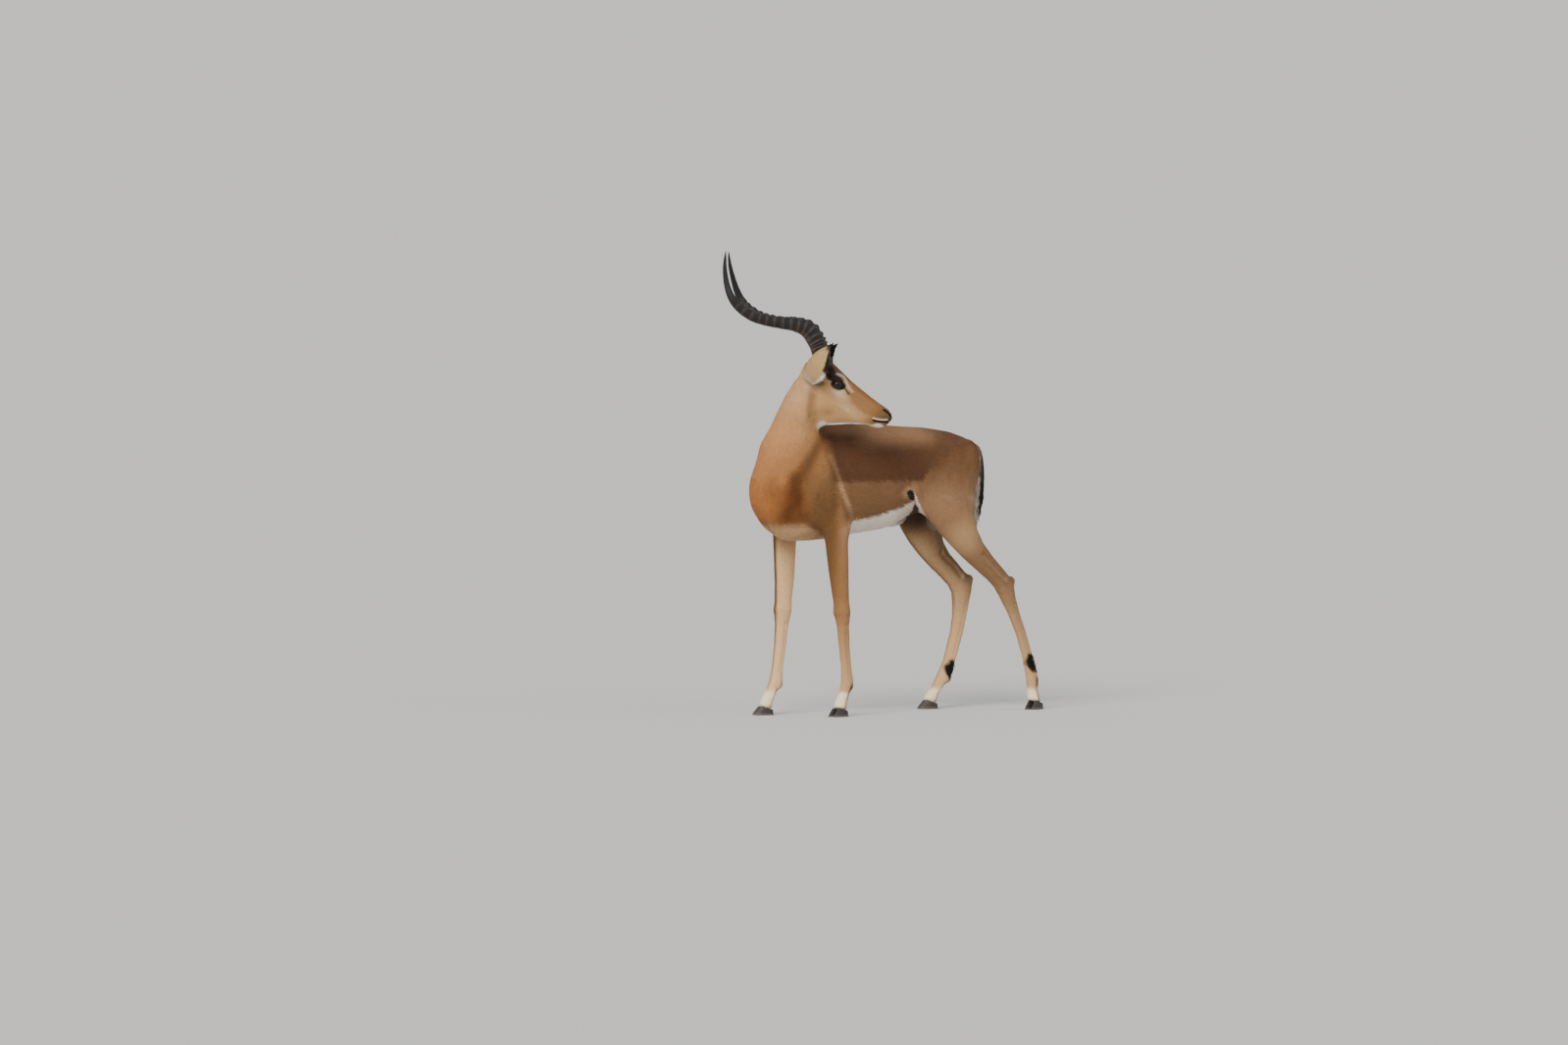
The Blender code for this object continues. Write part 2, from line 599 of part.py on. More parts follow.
def foot_block(name):
    """What the flesh of a leg is cut with where its claws begin."""
    tilt = Matrix.Rotation(-coronet_tilt(), 4, "Y")
    middle = (CORONET_FRONT + CORONET_HEEL) / 2
    frame = foot_frame(name) @ Matrix.Translation((0, 0, middle)) @ tilt
    return block(frame, *FOOT_BLOCK)


def ball(centre, radii, segments=14, rings=9):
    """A ball or an egg in the head's frame, with its poles to the sides."""
    bm = bmesh.new()
    matrix = Matrix.Translation(centre) @ Matrix.Diagonal((*radii, 1.0)) @ Matrix.Rotation(math.pi / 2, 4, "X")
    bmesh.ops.create_uvsphere(bm, u_segments=segments, v_segments=rings, radius=1.0, matrix=matrix)
    bmesh.ops.transform(bm, matrix=HEAD, verts=bm.verts)
    return mesh_of(bm, "ball")


def ear(side):
    """A cupped leaf, rolled at its root and open forwards, with a pointed tip."""
    bm = bmesh.new()
    bmesh.ops.create_grid(bm, x_segments=9, y_segments=5, size=1.0)
    frame = (
        HEAD
        @ Matrix.Translation((EAR_ROOT.x, side * EAR_ROOT.y, EAR_ROOT.z))
        @ Matrix.Rotation(math.radians(-side * EAR_TURN[0]), 4, "X")
        @ Matrix.Rotation(math.radians(EAR_TURN[1]), 4, "Y")
        @ Matrix.Rotation(math.radians(-side * EAR_TURN[2]), 4, "Z")
    )
    for vert in bm.verts:
        along, over = (vert.co.x + 1) / 2, vert.co.y
        width = EAR_WIDTH / 2 * np.interp(along, *zip(*EAR_OUTLINE))
        roll = math.radians(EAR_ROLL[0] + (EAR_ROLL[1] - EAR_ROLL[0]) * along)
        middle = width / roll * (math.cos(roll) - 1) - EAR_LEAN * math.sin(math.pi * along)
        if over * side > 0:
            places, widths, rolls = zip(*EAR_FRONT)
            width *= np.interp(along, places, widths)
            roll = math.radians(np.interp(along, places, rolls))
        radius, angle = width / roll, over * roll
        depth = middle + radius * (1 - math.cos(angle))
        vert.co = frame @ Vector((depth, radius * math.sin(angle), along * EAR_LENGTH))
    leaf = helper("leaf", mesh_of(bm, "leaf"))
    shell = leaf.modifiers.new("Solidify", "SOLIDIFY")
    shell.thickness = EAR_THICKNESS
    shell.offset = 0.0
    return applied(leaf)


def along_points(points, count):
    """A smooth line through the points, as so many of its own."""
    marks = [Vector(point) for point in points]
    marks = [2 * marks[0] - marks[1], *marks, 2 * marks[-1] - marks[-2]]
    spans = len(marks) - 3
    line = []
    for i in range(count + 1):
        place = i / count * spans
        first = min(int(place), spans - 1)
        t = place - first
        a, b, c, d = marks[first : first + 4]
        curved = 2 * b + (c - a) * t + (2 * a - 5 * b + 4 * c - d) * t**2 + (3 * b - a - 3 * c + d) * t**3
        line.append(curved / 2)
    return line


def tube(points, radii, resolution):
    """A curve with a round section whose radius changes from point to point, as a closed mesh."""
    curve = bpy.data.curves.new("tube", "CURVE")
    curve.dimensions = "3D"
    curve.bevel_depth = 1.0
    curve.bevel_resolution = resolution
    curve.use_fill_caps = True
    spline = curve.splines.new("POLY")
    spline.points.add(len(points) - 1)
    for point, place, radius in zip(spline.points, points, radii):
        point.co = (*place, 1.0)
        point.radius = radius
    mesh = applied(helper("tube", curve))
    bm = bmesh.new()
    bm.from_mesh(mesh)
    bmesh.ops.remove_doubles(bm, verts=bm.verts, dist=0.00005)
    return mesh_of(bm, "tube")


def horn(side):
    """Ringed over its lower part and smooth towards the tip, rising, sweeping back and out, and up again."""
    bm = bmesh.new()
    line = along_points([(x, side * y, z) for (x, y, z), depth, width in HORN], HORN_RINGS)
    shares = np.linspace(0, 1, len(HORN))
    rings = []
    for i, place in enumerate(line):
        along = (line[min(i + 1, HORN_RINGS)] - line[max(i - 1, 0)]).normalized()
        across = (Vector((0, 1, 0)) - along * along.y).normalized()
        frame = Matrix((along, across, along.cross(across))).transposed().to_4x4()
        swell = RIDGE_SWELL if i % 2 and i < RIDGED_RINGS else 1.0
        depth = swell * np.interp(i / HORN_RINGS, shares, [row[1] for row in HORN])
        width = swell * np.interp(i / HORN_RINGS, shares, [row[2] for row in HORN])
        frame = HEAD @ Matrix.Translation(place) @ frame
        rings.append(ring(bm, frame, width, depth, depth, sides=HORN_SIDES))
    loft(bm, rings)
    return mesh_of(bm, "horn")


def tail():
    places = along_points([row[0] for row in TAIL], 12)
    widths = np.interp(np.linspace(0, 1, 13), np.linspace(0, 1, len(TAIL)), [row[1] for row in TAIL])
    return tube(places, widths, 2)


def main():
    body = flesh()
    left_eye, right_eye = (Vector((EYE_AT.x, side * EYE_AT.y, EYE_AT.z)) for side in (1, -1))
    for centre in (left_eye, right_eye):
        opening = centre + Vector((0, math.copysign(LID_OUT, centre.y), 0))
        body = combined(body, ball(centre, (EYE_RADIUS + GAP,) * 3), "DIFFERENCE")
        body = combined(body, ball(opening, LID_OPENING), "DIFFERENCE")
    for name in LEG_LINES:
        body = combined(body, foot_block(name), "DIFFERENCE")
    whole = grown(body, GAP)
    node("eye_left", ball(left_eye, (EYE_RADIUS,) * 3), "eye")
    node("eye_right", ball(right_eye, (EYE_RADIUS,) * 3), "eye")
    for side, hand in ((1, "left"), (-1, "right")):
        seated = combined(horn(side), whole.copy(), "DIFFERENCE")
        leaf = combined(ear(side), grown(seated, GAP), "DIFFERENCE")
        node("horn_" + hand, seated, "horn")
        node("ear_" + hand, combined(leaf, whole.copy(), "DIFFERENCE"), "coat")
    node("tail", combined(tail(), whole, "DIFFERENCE"), "coat")
    for name in LEG_LINES:
        for half, place in ((1, "a"), (-1, "b")):
            node(f"claw_{name}_{place}", claw(name, half), "hoof")
    for name, frame, low, high, slope in parting_blocks():
        cut_off = combined(body.copy(), block(frame, low, high, 0.0, slope), "INTERSECT")
        node(name, joined_flats(cut_off), "leg" if "leg" in name else "coat")
        body = combined(body, block(frame, low, high, GAP, slope), "DIFFERENCE")
    node("trunk", joined_flats(body), "coat")
    centre_on_floor()


def centre_on_floor():
    """Moves every piece so that the origin is under the middle of the whole."""
    corners = np.array([vert.co for obj in ANIMAL.objects for vert in obj.data.vertices])
    low, high = corners.min(axis=0), corners.max(axis=0)
    shift = Matrix.Translation((-(low[0] + high[0]) / 2, -(low[1] + high[1]) / 2, -low[2]))
    for obj in ANIMAL.objects:
        obj.data.transform(shift)


clear_scene()
ANIMAL = bpy.data.collections.new("impala")
CUTTERS = bpy.data.collections.new("cutters")
bpy.context.scene.collection.children.link(ANIMAL)
bpy.context.scene.collection.children.link(CUTTERS)
main()
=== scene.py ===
"""Looks of the life-size impala ram: hide, coat, eyes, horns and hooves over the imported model."""

import math

import bmesh
import bpy
import numpy as np
from mathutils import Matrix, Vector, kdtree
from mathutils.bvhtree import BVHTree


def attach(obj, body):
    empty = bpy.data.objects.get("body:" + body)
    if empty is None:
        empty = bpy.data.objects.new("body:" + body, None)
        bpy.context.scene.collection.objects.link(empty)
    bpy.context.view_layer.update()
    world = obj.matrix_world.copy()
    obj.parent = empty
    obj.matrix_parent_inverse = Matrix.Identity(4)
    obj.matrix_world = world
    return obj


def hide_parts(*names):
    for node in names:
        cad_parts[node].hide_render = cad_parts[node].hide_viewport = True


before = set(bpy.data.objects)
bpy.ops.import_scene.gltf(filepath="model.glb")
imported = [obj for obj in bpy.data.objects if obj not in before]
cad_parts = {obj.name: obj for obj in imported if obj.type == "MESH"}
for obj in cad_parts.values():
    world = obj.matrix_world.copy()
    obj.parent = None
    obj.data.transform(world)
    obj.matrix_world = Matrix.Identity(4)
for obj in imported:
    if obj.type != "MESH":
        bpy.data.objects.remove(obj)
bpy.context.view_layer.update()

# The hide. One skin over the whole animal, from the muzzle to the tail and down to the coronets, with no
# seam. It starts as the flesh of the model and both ears run together, is eased until no facet is left, and
# then gets its lids, nostrils, lips, folds and tendons. The ears are thin cupped leaves of skin over gristle.
BODY_PLACE = np.array((0.0797, 0.0268, 0.0))  # under the animal's middle, where its own measures start
HEAD_AT = (-0.362, -0.092, 1.069)
HEAD = (
    Matrix.Translation(Vector(BODY_PLACE) + Vector(HEAD_AT))
    @ Matrix.Rotation(math.radians(-38), 4, "Z")
    @ Matrix.Rotation(math.radians(27), 4, "Y")
    @ Matrix.Rotation(math.radians(-2.5), 4, "X")
)
FROM_HEAD = HEAD.inverted()  # to the head's own measures, with X to the nose and Z to the crown
FLESH = ["head", "neck", "trunk", "tail", "foreleg_left", "foreleg_right", "hindleg_left", "hindleg_right"]
OVERLAP = 0.0005  # how far each solid's copy reaches into its neighbour
CELL = 0.0026
HIDE_TRIANGLES = 186000
COAT_DEPTH = {"body": 0.0022, "leg": 0.0012, "head": 0.0008, "ear": 0.0002}
EASING = {"body": 0.55, "leg": 0.32, "head": 0.26, "ear": 0.14}  # how much each round smooths the skin
EASING_ROUNDS, DEPTH_ROUNDS = 46, 26

EAR_ROOT = (-0.006, 0.046, -0.010)
EAR_TURN = (14, 9, 48)  # out, forward and round, in degrees
EAR_LENGTH, EAR_WIDTH, EAR_THICKNESS, EAR_LEAN = 0.147, 0.078, 0.0044, 0.012
EAR_ROLL = (112, 50)  # half the arc of the cupped leaf at its root and its tip, in degrees
LEAF_ROWS, LEAF_COLUMNS = 45, 27
EAR_OUTLINE = [(0.0, 0.58), (0.18, 0.86), (0.40, 1.0), (0.62, 0.84), (0.82, 0.42), (0.94, 0.16), (1.0, 0.04)]
# The front half of the leaf is wider and flatter: share along, times the width, and half arc.
EAR_FRONT = [(0.0, 1.60, 62), (0.30, 1.85, 42), (0.55, 1.60, 38), (0.80, 1.15, 38), (1.0, 1.0, 40)]

SIDES = {"left": 1, "right": -1}  # in the head's measures
EYE_AT, EYE_RADIUS = (0.0820, 0.0415, 0.0190), 0.0175
SOCKET_SKIN = 0.0012  # thickness of the skin over an eyeball before its lids open
LID_LENGTH, LID_HEIGHT, LID_TILT = 0.0186, 0.0114, math.radians(12)


def mesh_of(bm, name):
    """The finished shape as a mesh."""
    mesh = bpy.data.meshes.new(name)
    bm.to_mesh(mesh)
    bm.free()
    return mesh


def stood(name, mesh):
    """An object in the scene that carries the mesh, lamp or lens."""
    obj = bpy.data.objects.new(name, mesh)
    bpy.context.scene.collection.objects.link(obj)
    return obj


def read_off(table, at):
    """What a table of pairs gives at a value, with straight lines between its rows."""
    return np.interp(at, *zip(*table))


def copied(name):
    """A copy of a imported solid, merged and a little larger, so that neighbours overlap."""
    bm = bmesh.new()
    bm.from_mesh(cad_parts[name].data)
    bmesh.ops.remove_doubles(bm, verts=bm.verts, dist=1e-5)
    bm.normal_update()
    places = [vert.co + vert.normal * OVERLAP for vert in bm.verts]
    for vert, place in zip(bm.verts, places):
        vert.co = place
    return mesh_of(bm, name + "_copy")


def taken(obj):
    """The mesh of an object after its modifiers. The object itself goes."""
    graph = bpy.context.evaluated_depsgraph_get()
    made = bpy.data.meshes.new_from_object(obj.evaluated_get(graph))
    bpy.data.objects.remove(obj)
    return made


def worked(mesh, kind, **settings):
    """The mesh after one modifier."""
    obj = stood("worked", mesh)
    modifier = obj.modifiers.new(kind.title(), kind)
    for key, value in settings.items():
        setattr(modifier, key, value)
    return taken(obj)


def ear_frame(side):
    """Frame of an ear: Z from its root to its tip, X to its open side."""
    return (
        HEAD
        @ Matrix.Translation((EAR_ROOT[0], side * EAR_ROOT[1], EAR_ROOT[2]))
        @ Matrix.Rotation(math.radians(-side * EAR_TURN[0]), 4, "X")
        @ Matrix.Rotation(math.radians(EAR_TURN[1]), 4, "Y")
        @ Matrix.Rotation(math.radians(-side * EAR_TURN[2]), 4, "Z")
    )


def ear_point(side, along, over):
    """The place on an ear's leaf a share along it and over from its middle line."""
    width = EAR_WIDTH / 2 * read_off(EAR_OUTLINE, along)
    roll = math.radians(EAR_ROLL[0] + (EAR_ROLL[1] - EAR_ROLL[0]) * along)
    middle = width / roll * (math.cos(roll) - 1) - EAR_LEAN * math.sin(math.pi * along)
    if over * side > 0:
        places, widths, rolls = zip(*EAR_FRONT)
        width *= np.interp(along, places, widths)
        roll = math.radians(np.interp(along, places, rolls))
    radius, angle = width / roll, over * roll
    depth = middle + radius * (1 - math.cos(angle))
    return ear_frame(side) @ Vector((depth, radius * math.sin(angle), along * EAR_LENGTH))


def leaf(side):
    """One ear as a closed leaf."""
    bm = bmesh.new()
    bmesh.ops.create_grid(bm, x_segments=LEAF_ROWS - 1, y_segments=LEAF_COLUMNS - 1, size=1.0)
    for vert in bm.verts:
        vert.co = ear_point(side, (vert.co.x + 1) / 2, vert.co.y)
    bm.normal_update()
    return worked(mesh_of(bm, "leaf"), "SOLIDIFY", thickness=EAR_THICKNESS, offset=0.0)


def array_of(mesh, what="vertices", field="co", width=3, kind=float):
    """One measure of every vertex, edge or face, a row for each."""
    items = getattr(mesh, what)
    values = np.empty(len(items) * width, kind)
    items.foreach_get(field, values)
    return values.reshape(-1, width)


def moved(points, matrix):
    """Many points through a matrix."""
    matrix = np.array(matrix)
    return points @ matrix[:3, :3].T + matrix[:3, 3]


def ease(value, start, end):
    """From 0 at start to 1 at end, with soft shoulders."""
    share = np.clip((value - start) / (end - start), 0, 1)
    return share * share * (3 - 2 * share)


def fade(value, start, end):
    """From 1 at start to 0 at end, with soft shoulders."""
    return ease(-value, -end, -start)


class Web:
    """The edges of a mesh, for easing values over it."""

    def __init__(self, mesh):
        self.first, self.second = array_of(mesh, "edges", "vertices", 2, np.int64).T
        self.count = len(mesh.vertices)
        ends = np.bincount(self.first, minlength=self.count) + np.bincount(self.second, minlength=self.count)
        self.degree = np.maximum(ends, 1)[:, None]

    def mean(self, values):
        """Each vertex's mean of its neighbours' values."""
        total = np.zeros_like(values)
        for axis in range(values.shape[1]):
            total[:, axis] = np.bincount(self.first, values[self.second, axis], self.count)
            total[:, axis] += np.bincount(self.second, values[self.first, axis], self.count)
        return total / self.degree

    def eased(self, values, rounds, share=0.5):
        """The values after each has moved a share of the way to that mean, round by round."""
        for _ in range(rounds):
            values = values + share * (self.mean(values) - values)
        return values


def normals_of(mesh, points):
    """The normals of the mesh once its vertices are moved to the points."""
    mesh.vertices.foreach_set("co", points.ravel())
    mesh.update()
    return array_of(mesh, "vertex_normals", "vector")


raw = bmesh.new()
for name in FLESH:
    raw.from_mesh(copied(name))
for side in SIDES.values():
    raw.from_mesh(leaf(side))
    mound = HEAD @ Matrix.Translation((EYE_AT[0], side * EYE_AT[1], EYE_AT[2]))
    bmesh.ops.create_icosphere(raw, subdivisions=4, radius=EYE_RADIUS + SOCKET_SKIN, matrix=mound)
hide_mesh = worked(mesh_of(raw, "hide_raw"), "REMESH", mode="VOXEL", voxel_size=CELL)

# More faces round the eyes and over the muzzle, where the folds are finest.
MUZZLE_FROM, LIDS_TO = 0.232, 0.029
fine = bmesh.new()
fine.from_mesh(hide_mesh)
eyes = [Vector((EYE_AT[0], side * EYE_AT[1], EYE_AT[2])) for side in SIDES.values()]
close = []
for face in fine.faces:
    place = FROM_HEAD @ face.verts[0].co
    if -0.02 < place.x < 0.31 and abs(place.y) < 0.075 and -0.08 < place.z < 0.07:
        if place.x > MUZZLE_FROM or min((place - eye).length for eye in eyes) < LIDS_TO:
            close.append(face)
edges = {edge for face in close for edge in face.edges}
bmesh.ops.subdivide_edges(fine, edges=list(edges), cuts=1, use_grid_fill=True)
bmesh.ops.triangulate(fine, faces=[face for face in fine.faces if len(face.verts) > 4])
fine.to_mesh(hide_mesh)
fine.free()

web = Web(hide_mesh)
start = array_of(hide_mesh)
body = start - BODY_PLACE
head = moved(start, FROM_HEAD)
in_head = ease(head[:, 0], -0.05, -0.02) * fade(head[:, 0], 0.30, 0.33)
in_head *= fade(np.abs(head[:, 1]), 0.070, 0.085)
in_head *= ease(head[:, 2], -0.15, -0.12) * fade(head[:, 2], 0.09, 0.11)
leaves = kdtree.KDTree(2 * LEAF_ROWS * LEAF_COLUMNS)
leaf_places = []
for side in SIDES.values():
    for along in np.linspace(0, 1, LEAF_ROWS):
        for over in np.linspace(-1, 1, LEAF_COLUMNS):
            leaves.insert(ear_point(side, along, over), len(leaf_places))
            leaf_places.append((side, along, over))
leaves.balance()
leaf_places = np.array(leaf_places)
in_ear = np.zeros(len(start))
for index in np.flatnonzero((start[:, 2] > 0.95) & (start[:, 2] < 1.30)):
    _, where, distance = leaves.find(start[index])
    share = ease(leaf_places[where, 1], 0.05, 0.16)
    in_ear[index] = fade(distance, 0.006, 0.012) * share
legs = fade(body[:, 2], 0.46, 0.57)


def by_region(values):
    """A value for each point of the hide, blended from those of the body, the legs, the head and the ears."""
    blend = values["body"] * (1 - legs) * (1 - in_head) + values["leg"] * legs + values["head"] * in_head
    return (blend * (1 - in_ear) + values["ear"] * in_ear)[:, None]


points = web.eased(start, EASING_ROUNDS, by_region(EASING))
facing = normals_of(hide_mesh, points)
sunk = np.sum((points - start) * facing, axis=1, keepdims=True)
points = points - facing * (web.eased(sunk, DEPTH_ROUNDS) + (by_region(COAT_DEPTH) + OVERLAP))
facing = normals_of(hide_mesh, points)

# Folds, ridges and hollows: the line that each follows, how wide it reaches and how far it stands out. Each
# is laid on both sides, and one on the head's middle line is laid there twice, at half its height.
HEAD_FOLDS = [
    ([(0.056, 0.047, 0.036), (0.074, 0.050, 0.043), (0.094, 0.046, 0.041), (0.109, 0.041, 0.033)],
     0.011, 0.0026),
    ([(0.107, 0.042, 0.019), (0.120, 0.038, 0.013), (0.133, 0.035, 0.008)], 0.0065, -0.0018),
    ([(0.030, 0.050, 0.004), (0.070, 0.050, -0.004), (0.115, 0.042, -0.008), (0.150, 0.036, -0.010)],
     0.011, 0.0020),
    ([(0.050, 0.048, -0.022), (0.100, 0.042, -0.030), (0.150, 0.034, -0.032)], 0.013, -0.0020),
    ([(0.075, 0.046, -0.050), (0.095, 0.042, -0.060)], 0.030, 0.0026),
    ([(0.040, 0.050, -0.048), (0.047, 0.048, -0.080), (0.055, 0.040, -0.106)], 0.015, -0.0040),
    ([(0.140, 0.030, 0.020), (0.180, 0.026, 0.014), (0.225, 0.022, 0.006)], 0.012, -0.0014),
    ([(0.247, 0.018, 0.026), (0.262, 0.018, 0.027), (0.276, 0.015, 0.022)], 0.0060, 0.0016),
    ([(0.249, 0.020, 0.019), (0.262, 0.020, 0.0195), (0.272, 0.0175, 0.016), (0.277, 0.015, 0.010)],
     0.0036, -0.0075),
    ([(0.236, 0.025, -0.0300), (0.252, 0.0235, -0.0250), (0.268, 0.020, -0.0180), (0.280, 0.012, -0.0130),
      (0.286, 0.000, -0.0115)],
     0.0026, -0.0034),
    ([(0.238, 0.025, -0.0230), (0.255, 0.0235, -0.0170), (0.272, 0.018, -0.0100)], 0.0070, 0.0014),
    ([(0.252, 0.016, -0.0400), (0.268, 0.010, -0.0330)], 0.0100, 0.0014),
    ([(0.289, 0.000, 0.004), (0.287, 0.000, -0.010)], 0.0030, -0.0012),
]
BODY_FOLDS = [
    ([(-0.298, 0.094, 0.830), (-0.271, 0.108, 0.753), (-0.255, 0.112, 0.690), (-0.238, 0.115, 0.628)],
     0.026, -0.0034),
    ([(-0.335, 0.086, 0.800), (-0.318, 0.100, 0.740), (-0.300, 0.110, 0.680)], 0.030, 0.0024),
    ([(-0.345, 0.085, 0.835), (-0.367, 0.092, 0.806), (-0.410, 0.092, 0.747), (-0.440, 0.090, 0.705)],
     0.042, -0.0050),
    ([(-0.380, 0.100, 0.740), (-0.396, 0.098, 0.680)], 0.036, -0.0040),
    ([(-0.292, 0.092, 0.821), (-0.261, 0.110, 0.713), (-0.232, 0.108, 0.640)], 0.014, 0.0016),
    ([(-0.010, 0.122, 0.735), (0.006, 0.118, 0.700), (0.020, 0.110, 0.662)], 0.020, -0.0034),
    ([(0.150, 0.095, 0.740), (0.190, 0.090, 0.690), (0.220, 0.080, 0.630)], 0.026, -0.0022),
    ([(0.100, 0.070, 0.850), (0.125, 0.072, 0.825)], 0.030, 0.0026),
    ([(-0.500, 0.000, 0.760), (-0.490, 0.000, 0.700), (-0.460, 0.000, 0.640)], 0.030, -0.0008),
]
SPAN_REACH = 0.03  # how far above and below a height a leg is measured


def span(name, height):
    """How far a leg reaches along and across the animal at a height."""
    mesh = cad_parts[name].data
    places = array_of(mesh) - BODY_PLACE
    near = np.abs(places[:, 2] - height) < SPAN_REACH
    return places[near].min(axis=0), places[near].max(axis=0)


def leg_line(name, rows, outer=True):
    """A line down a leg: each height, with the share of the leg's depth back from its front."""
    line = []
    for height, back in rows:
        low, high = span(name, height)
        left = name.endswith("left")
        y = low[1] if left == outer else high[1]
        line.append((low[0] + back * (high[0] - low[0]), y, height))
    return line


NOSTRIL, MOUTH = 8, 9  # their places in the list of folds on the head
NOSTRIL_DEPTH, MOUTH_DEPTH = 0.0035, 0.0016
LEG_FOLDS = []
for name in ("hindleg_left", "hindleg_right"):
    for outer in (True, False):
        LEG_FOLDS.append((leg_line(name, [(0.50, 0.62), (0.46, 0.64), (0.425, 0.66)], outer), 0.013, -0.0042))
        LEG_FOLDS.append((leg_line(name, [(0.34, 0.60), (0.26, 0.58), (0.17, 0.55)], outer), 0.0075, -0.0022))
for name in ("foreleg_left", "foreleg_right"):
    for outer in (True, False):
        LEG_FOLDS.append((leg_line(name, [(0.29, 0.62), (0.22, 0.60), (0.14, 0.56)], outer), 0.0075, -0.0022))


def laid(line, tree, steps=14):
    """The line's points and others between them, laid down on the surface."""
    marks = np.array(line)
    shares = np.linspace(0, len(marks) - 1, steps * (len(marks) - 1) + 1)
    places = np.column_stack([np.interp(shares, np.arange(len(marks)), column) for column in marks.T])
    return [tree.find_nearest(place)[0] for place in places]


def fold(line, reach, rise):
    """Raises the skin along a line, or sinks it where the rise is negative."""
    share = np.zeros(len(points))
    for place in laid(line, surface):
        for _, index, distance in near_points.find_range(place, reach):
            share[index] = max(share[index], (1 - (distance / reach) ** 2) ** 2)
    return share * rise


surface = BVHTree.FromPolygons(points.tolist(), [tuple(face.vertices) for face in hide_mesh.polygons])
near_points = kdtree.KDTree(len(points))
for index, place in enumerate(points):
    near_points.insert(place, index)
near_points.balance()
rise = np.zeros(len(points))
nostril_marks, mouth_marks = [], []
for side in SIDES.values():
    for number, (line, reach, height) in enumerate(HEAD_FOLDS):
        placed_line = [HEAD @ Vector((x, side * y, z)) for x, y, z in line]
        rise += fold(placed_line, reach, height) * (0.5 if line[0][1] == 0 else 1)
        if number in (NOSTRIL, MOUTH):
            marks, sink = (nostril_marks, NOSTRIL_DEPTH) if number == NOSTRIL else (mouth_marks, MOUTH_DEPTH)
            for place in laid(placed_line, surface, 5):
                marks.append(np.array(place - surface.find_nearest(place)[1] * sink))
    for line, reach, height in BODY_FOLDS:
        rise += fold([np.array((x, side * y, z)) + BODY_PLACE for x, y, z in line], reach, height)
for line, reach, height in LEG_FOLDS:
    rise += fold([np.array(place) + BODY_PLACE for place in line], reach, height)
points = points + facing * rise[:, None]


def eye_axes(side):
    """An eye's middle, its gaze, the line through its corners and the one across, in the head's measures."""
    gaze = Vector((0.24, side * 0.94, 0.16)).normalized()
    corner = Vector((math.cos(LID_TILT), 0, math.sin(LID_TILT)))
    corner = (corner - gaze * corner.dot(gaze)).normalized()
    return Vector((EYE_AT[0], side * EYE_AT[1], EYE_AT[2])), gaze, corner, gaze.cross(corner) * side


def almond(out, corner, lift, upper=1.0, lower=1.0):
    """How far each place is from the middle of an eye's opening, which is 1 at the lids, and how far up."""
    across, up = out @ corner / LID_LENGTH, out @ lift / LID_HEIGHT
    up = np.where(up > 0, up * upper, up * lower)
    return np.abs(across) ** 2.1 + np.abs(up) ** 1.7, up


# Lids: the skin is drawn over each eyeball and opened along an almond, with a rim that stands on the ball.
LID_STEPS = [(0, -0.0040), (0.55, -0.0035), (0.92, -0.0016), (1.10, 0.0019), (1.7, 0.0016), (2.6, 0.0010)]
head = moved(points, FROM_HEAD)
for side in SIDES.values():
    middle, gaze, corner, lift = (np.array(axis) for axis in eye_axes(side))
    out = head - middle
    reach = np.linalg.norm(out, axis=1)
    near = (reach < 0.036) & (out @ gaze > 0)
    opening, up = almond(out, corner, lift, upper=0.94, lower=1.04)
    wanted = read_off(LID_STEPS, opening) + EYE_RADIUS
    hold = 1 - ease(opening, 1.5, 3.6)
    target = middle + out / reach[:, None] * wanted[:, None]
    head = np.where(near[:, None], head + hold[:, None] * (target - head), head)
    crease = np.exp(-((opening - 2.05) / 0.35) ** 2) * ease(up, 0.2, 0.8) * near
    head -= out / reach[:, None] * (crease * 0.0012)[:, None]
points = moved(head, HEAD)
points[:, 2] = np.maximum(points[:, 2], 0.002)
normals_of(hide_mesh, points)

# The hide is thinned out where it is plain, and least on the head.
hide_mesh = worked(hide_mesh, "TRIANGULATE")
thinned = stood("worked", hide_mesh)
kept = thinned.vertex_groups.new(name="thinned")
head = moved(array_of(hide_mesh), FROM_HEAD)
features = ease(head[:, 0], -0.05, 0.0) * fade(np.abs(head[:, 1]), 0.08, 0.11)
features *= ease(head[:, 2], -0.14, -0.12) * fade(head[:, 2], 0.08, 0.10)
for level in (0.0, 0.5, 1.0):
    chosen = np.flatnonzero(np.abs((1 - features) - level) <= 0.25)
    kept.add(chosen.tolist(), level, "REPLACE")
thin = thinned.modifiers.new("Decimate", "DECIMATE")
thin.ratio = HIDE_TRIANGLES / len(hide_mesh.polygons)
thin.vertex_group = "thinned"
thin.vertex_group_factor = 4.0
hide_mesh = taken(thinned)
hide_mesh.name = "hide"
hide_mesh.shade_smooth()
hide = stood("hide", hide_mesh)

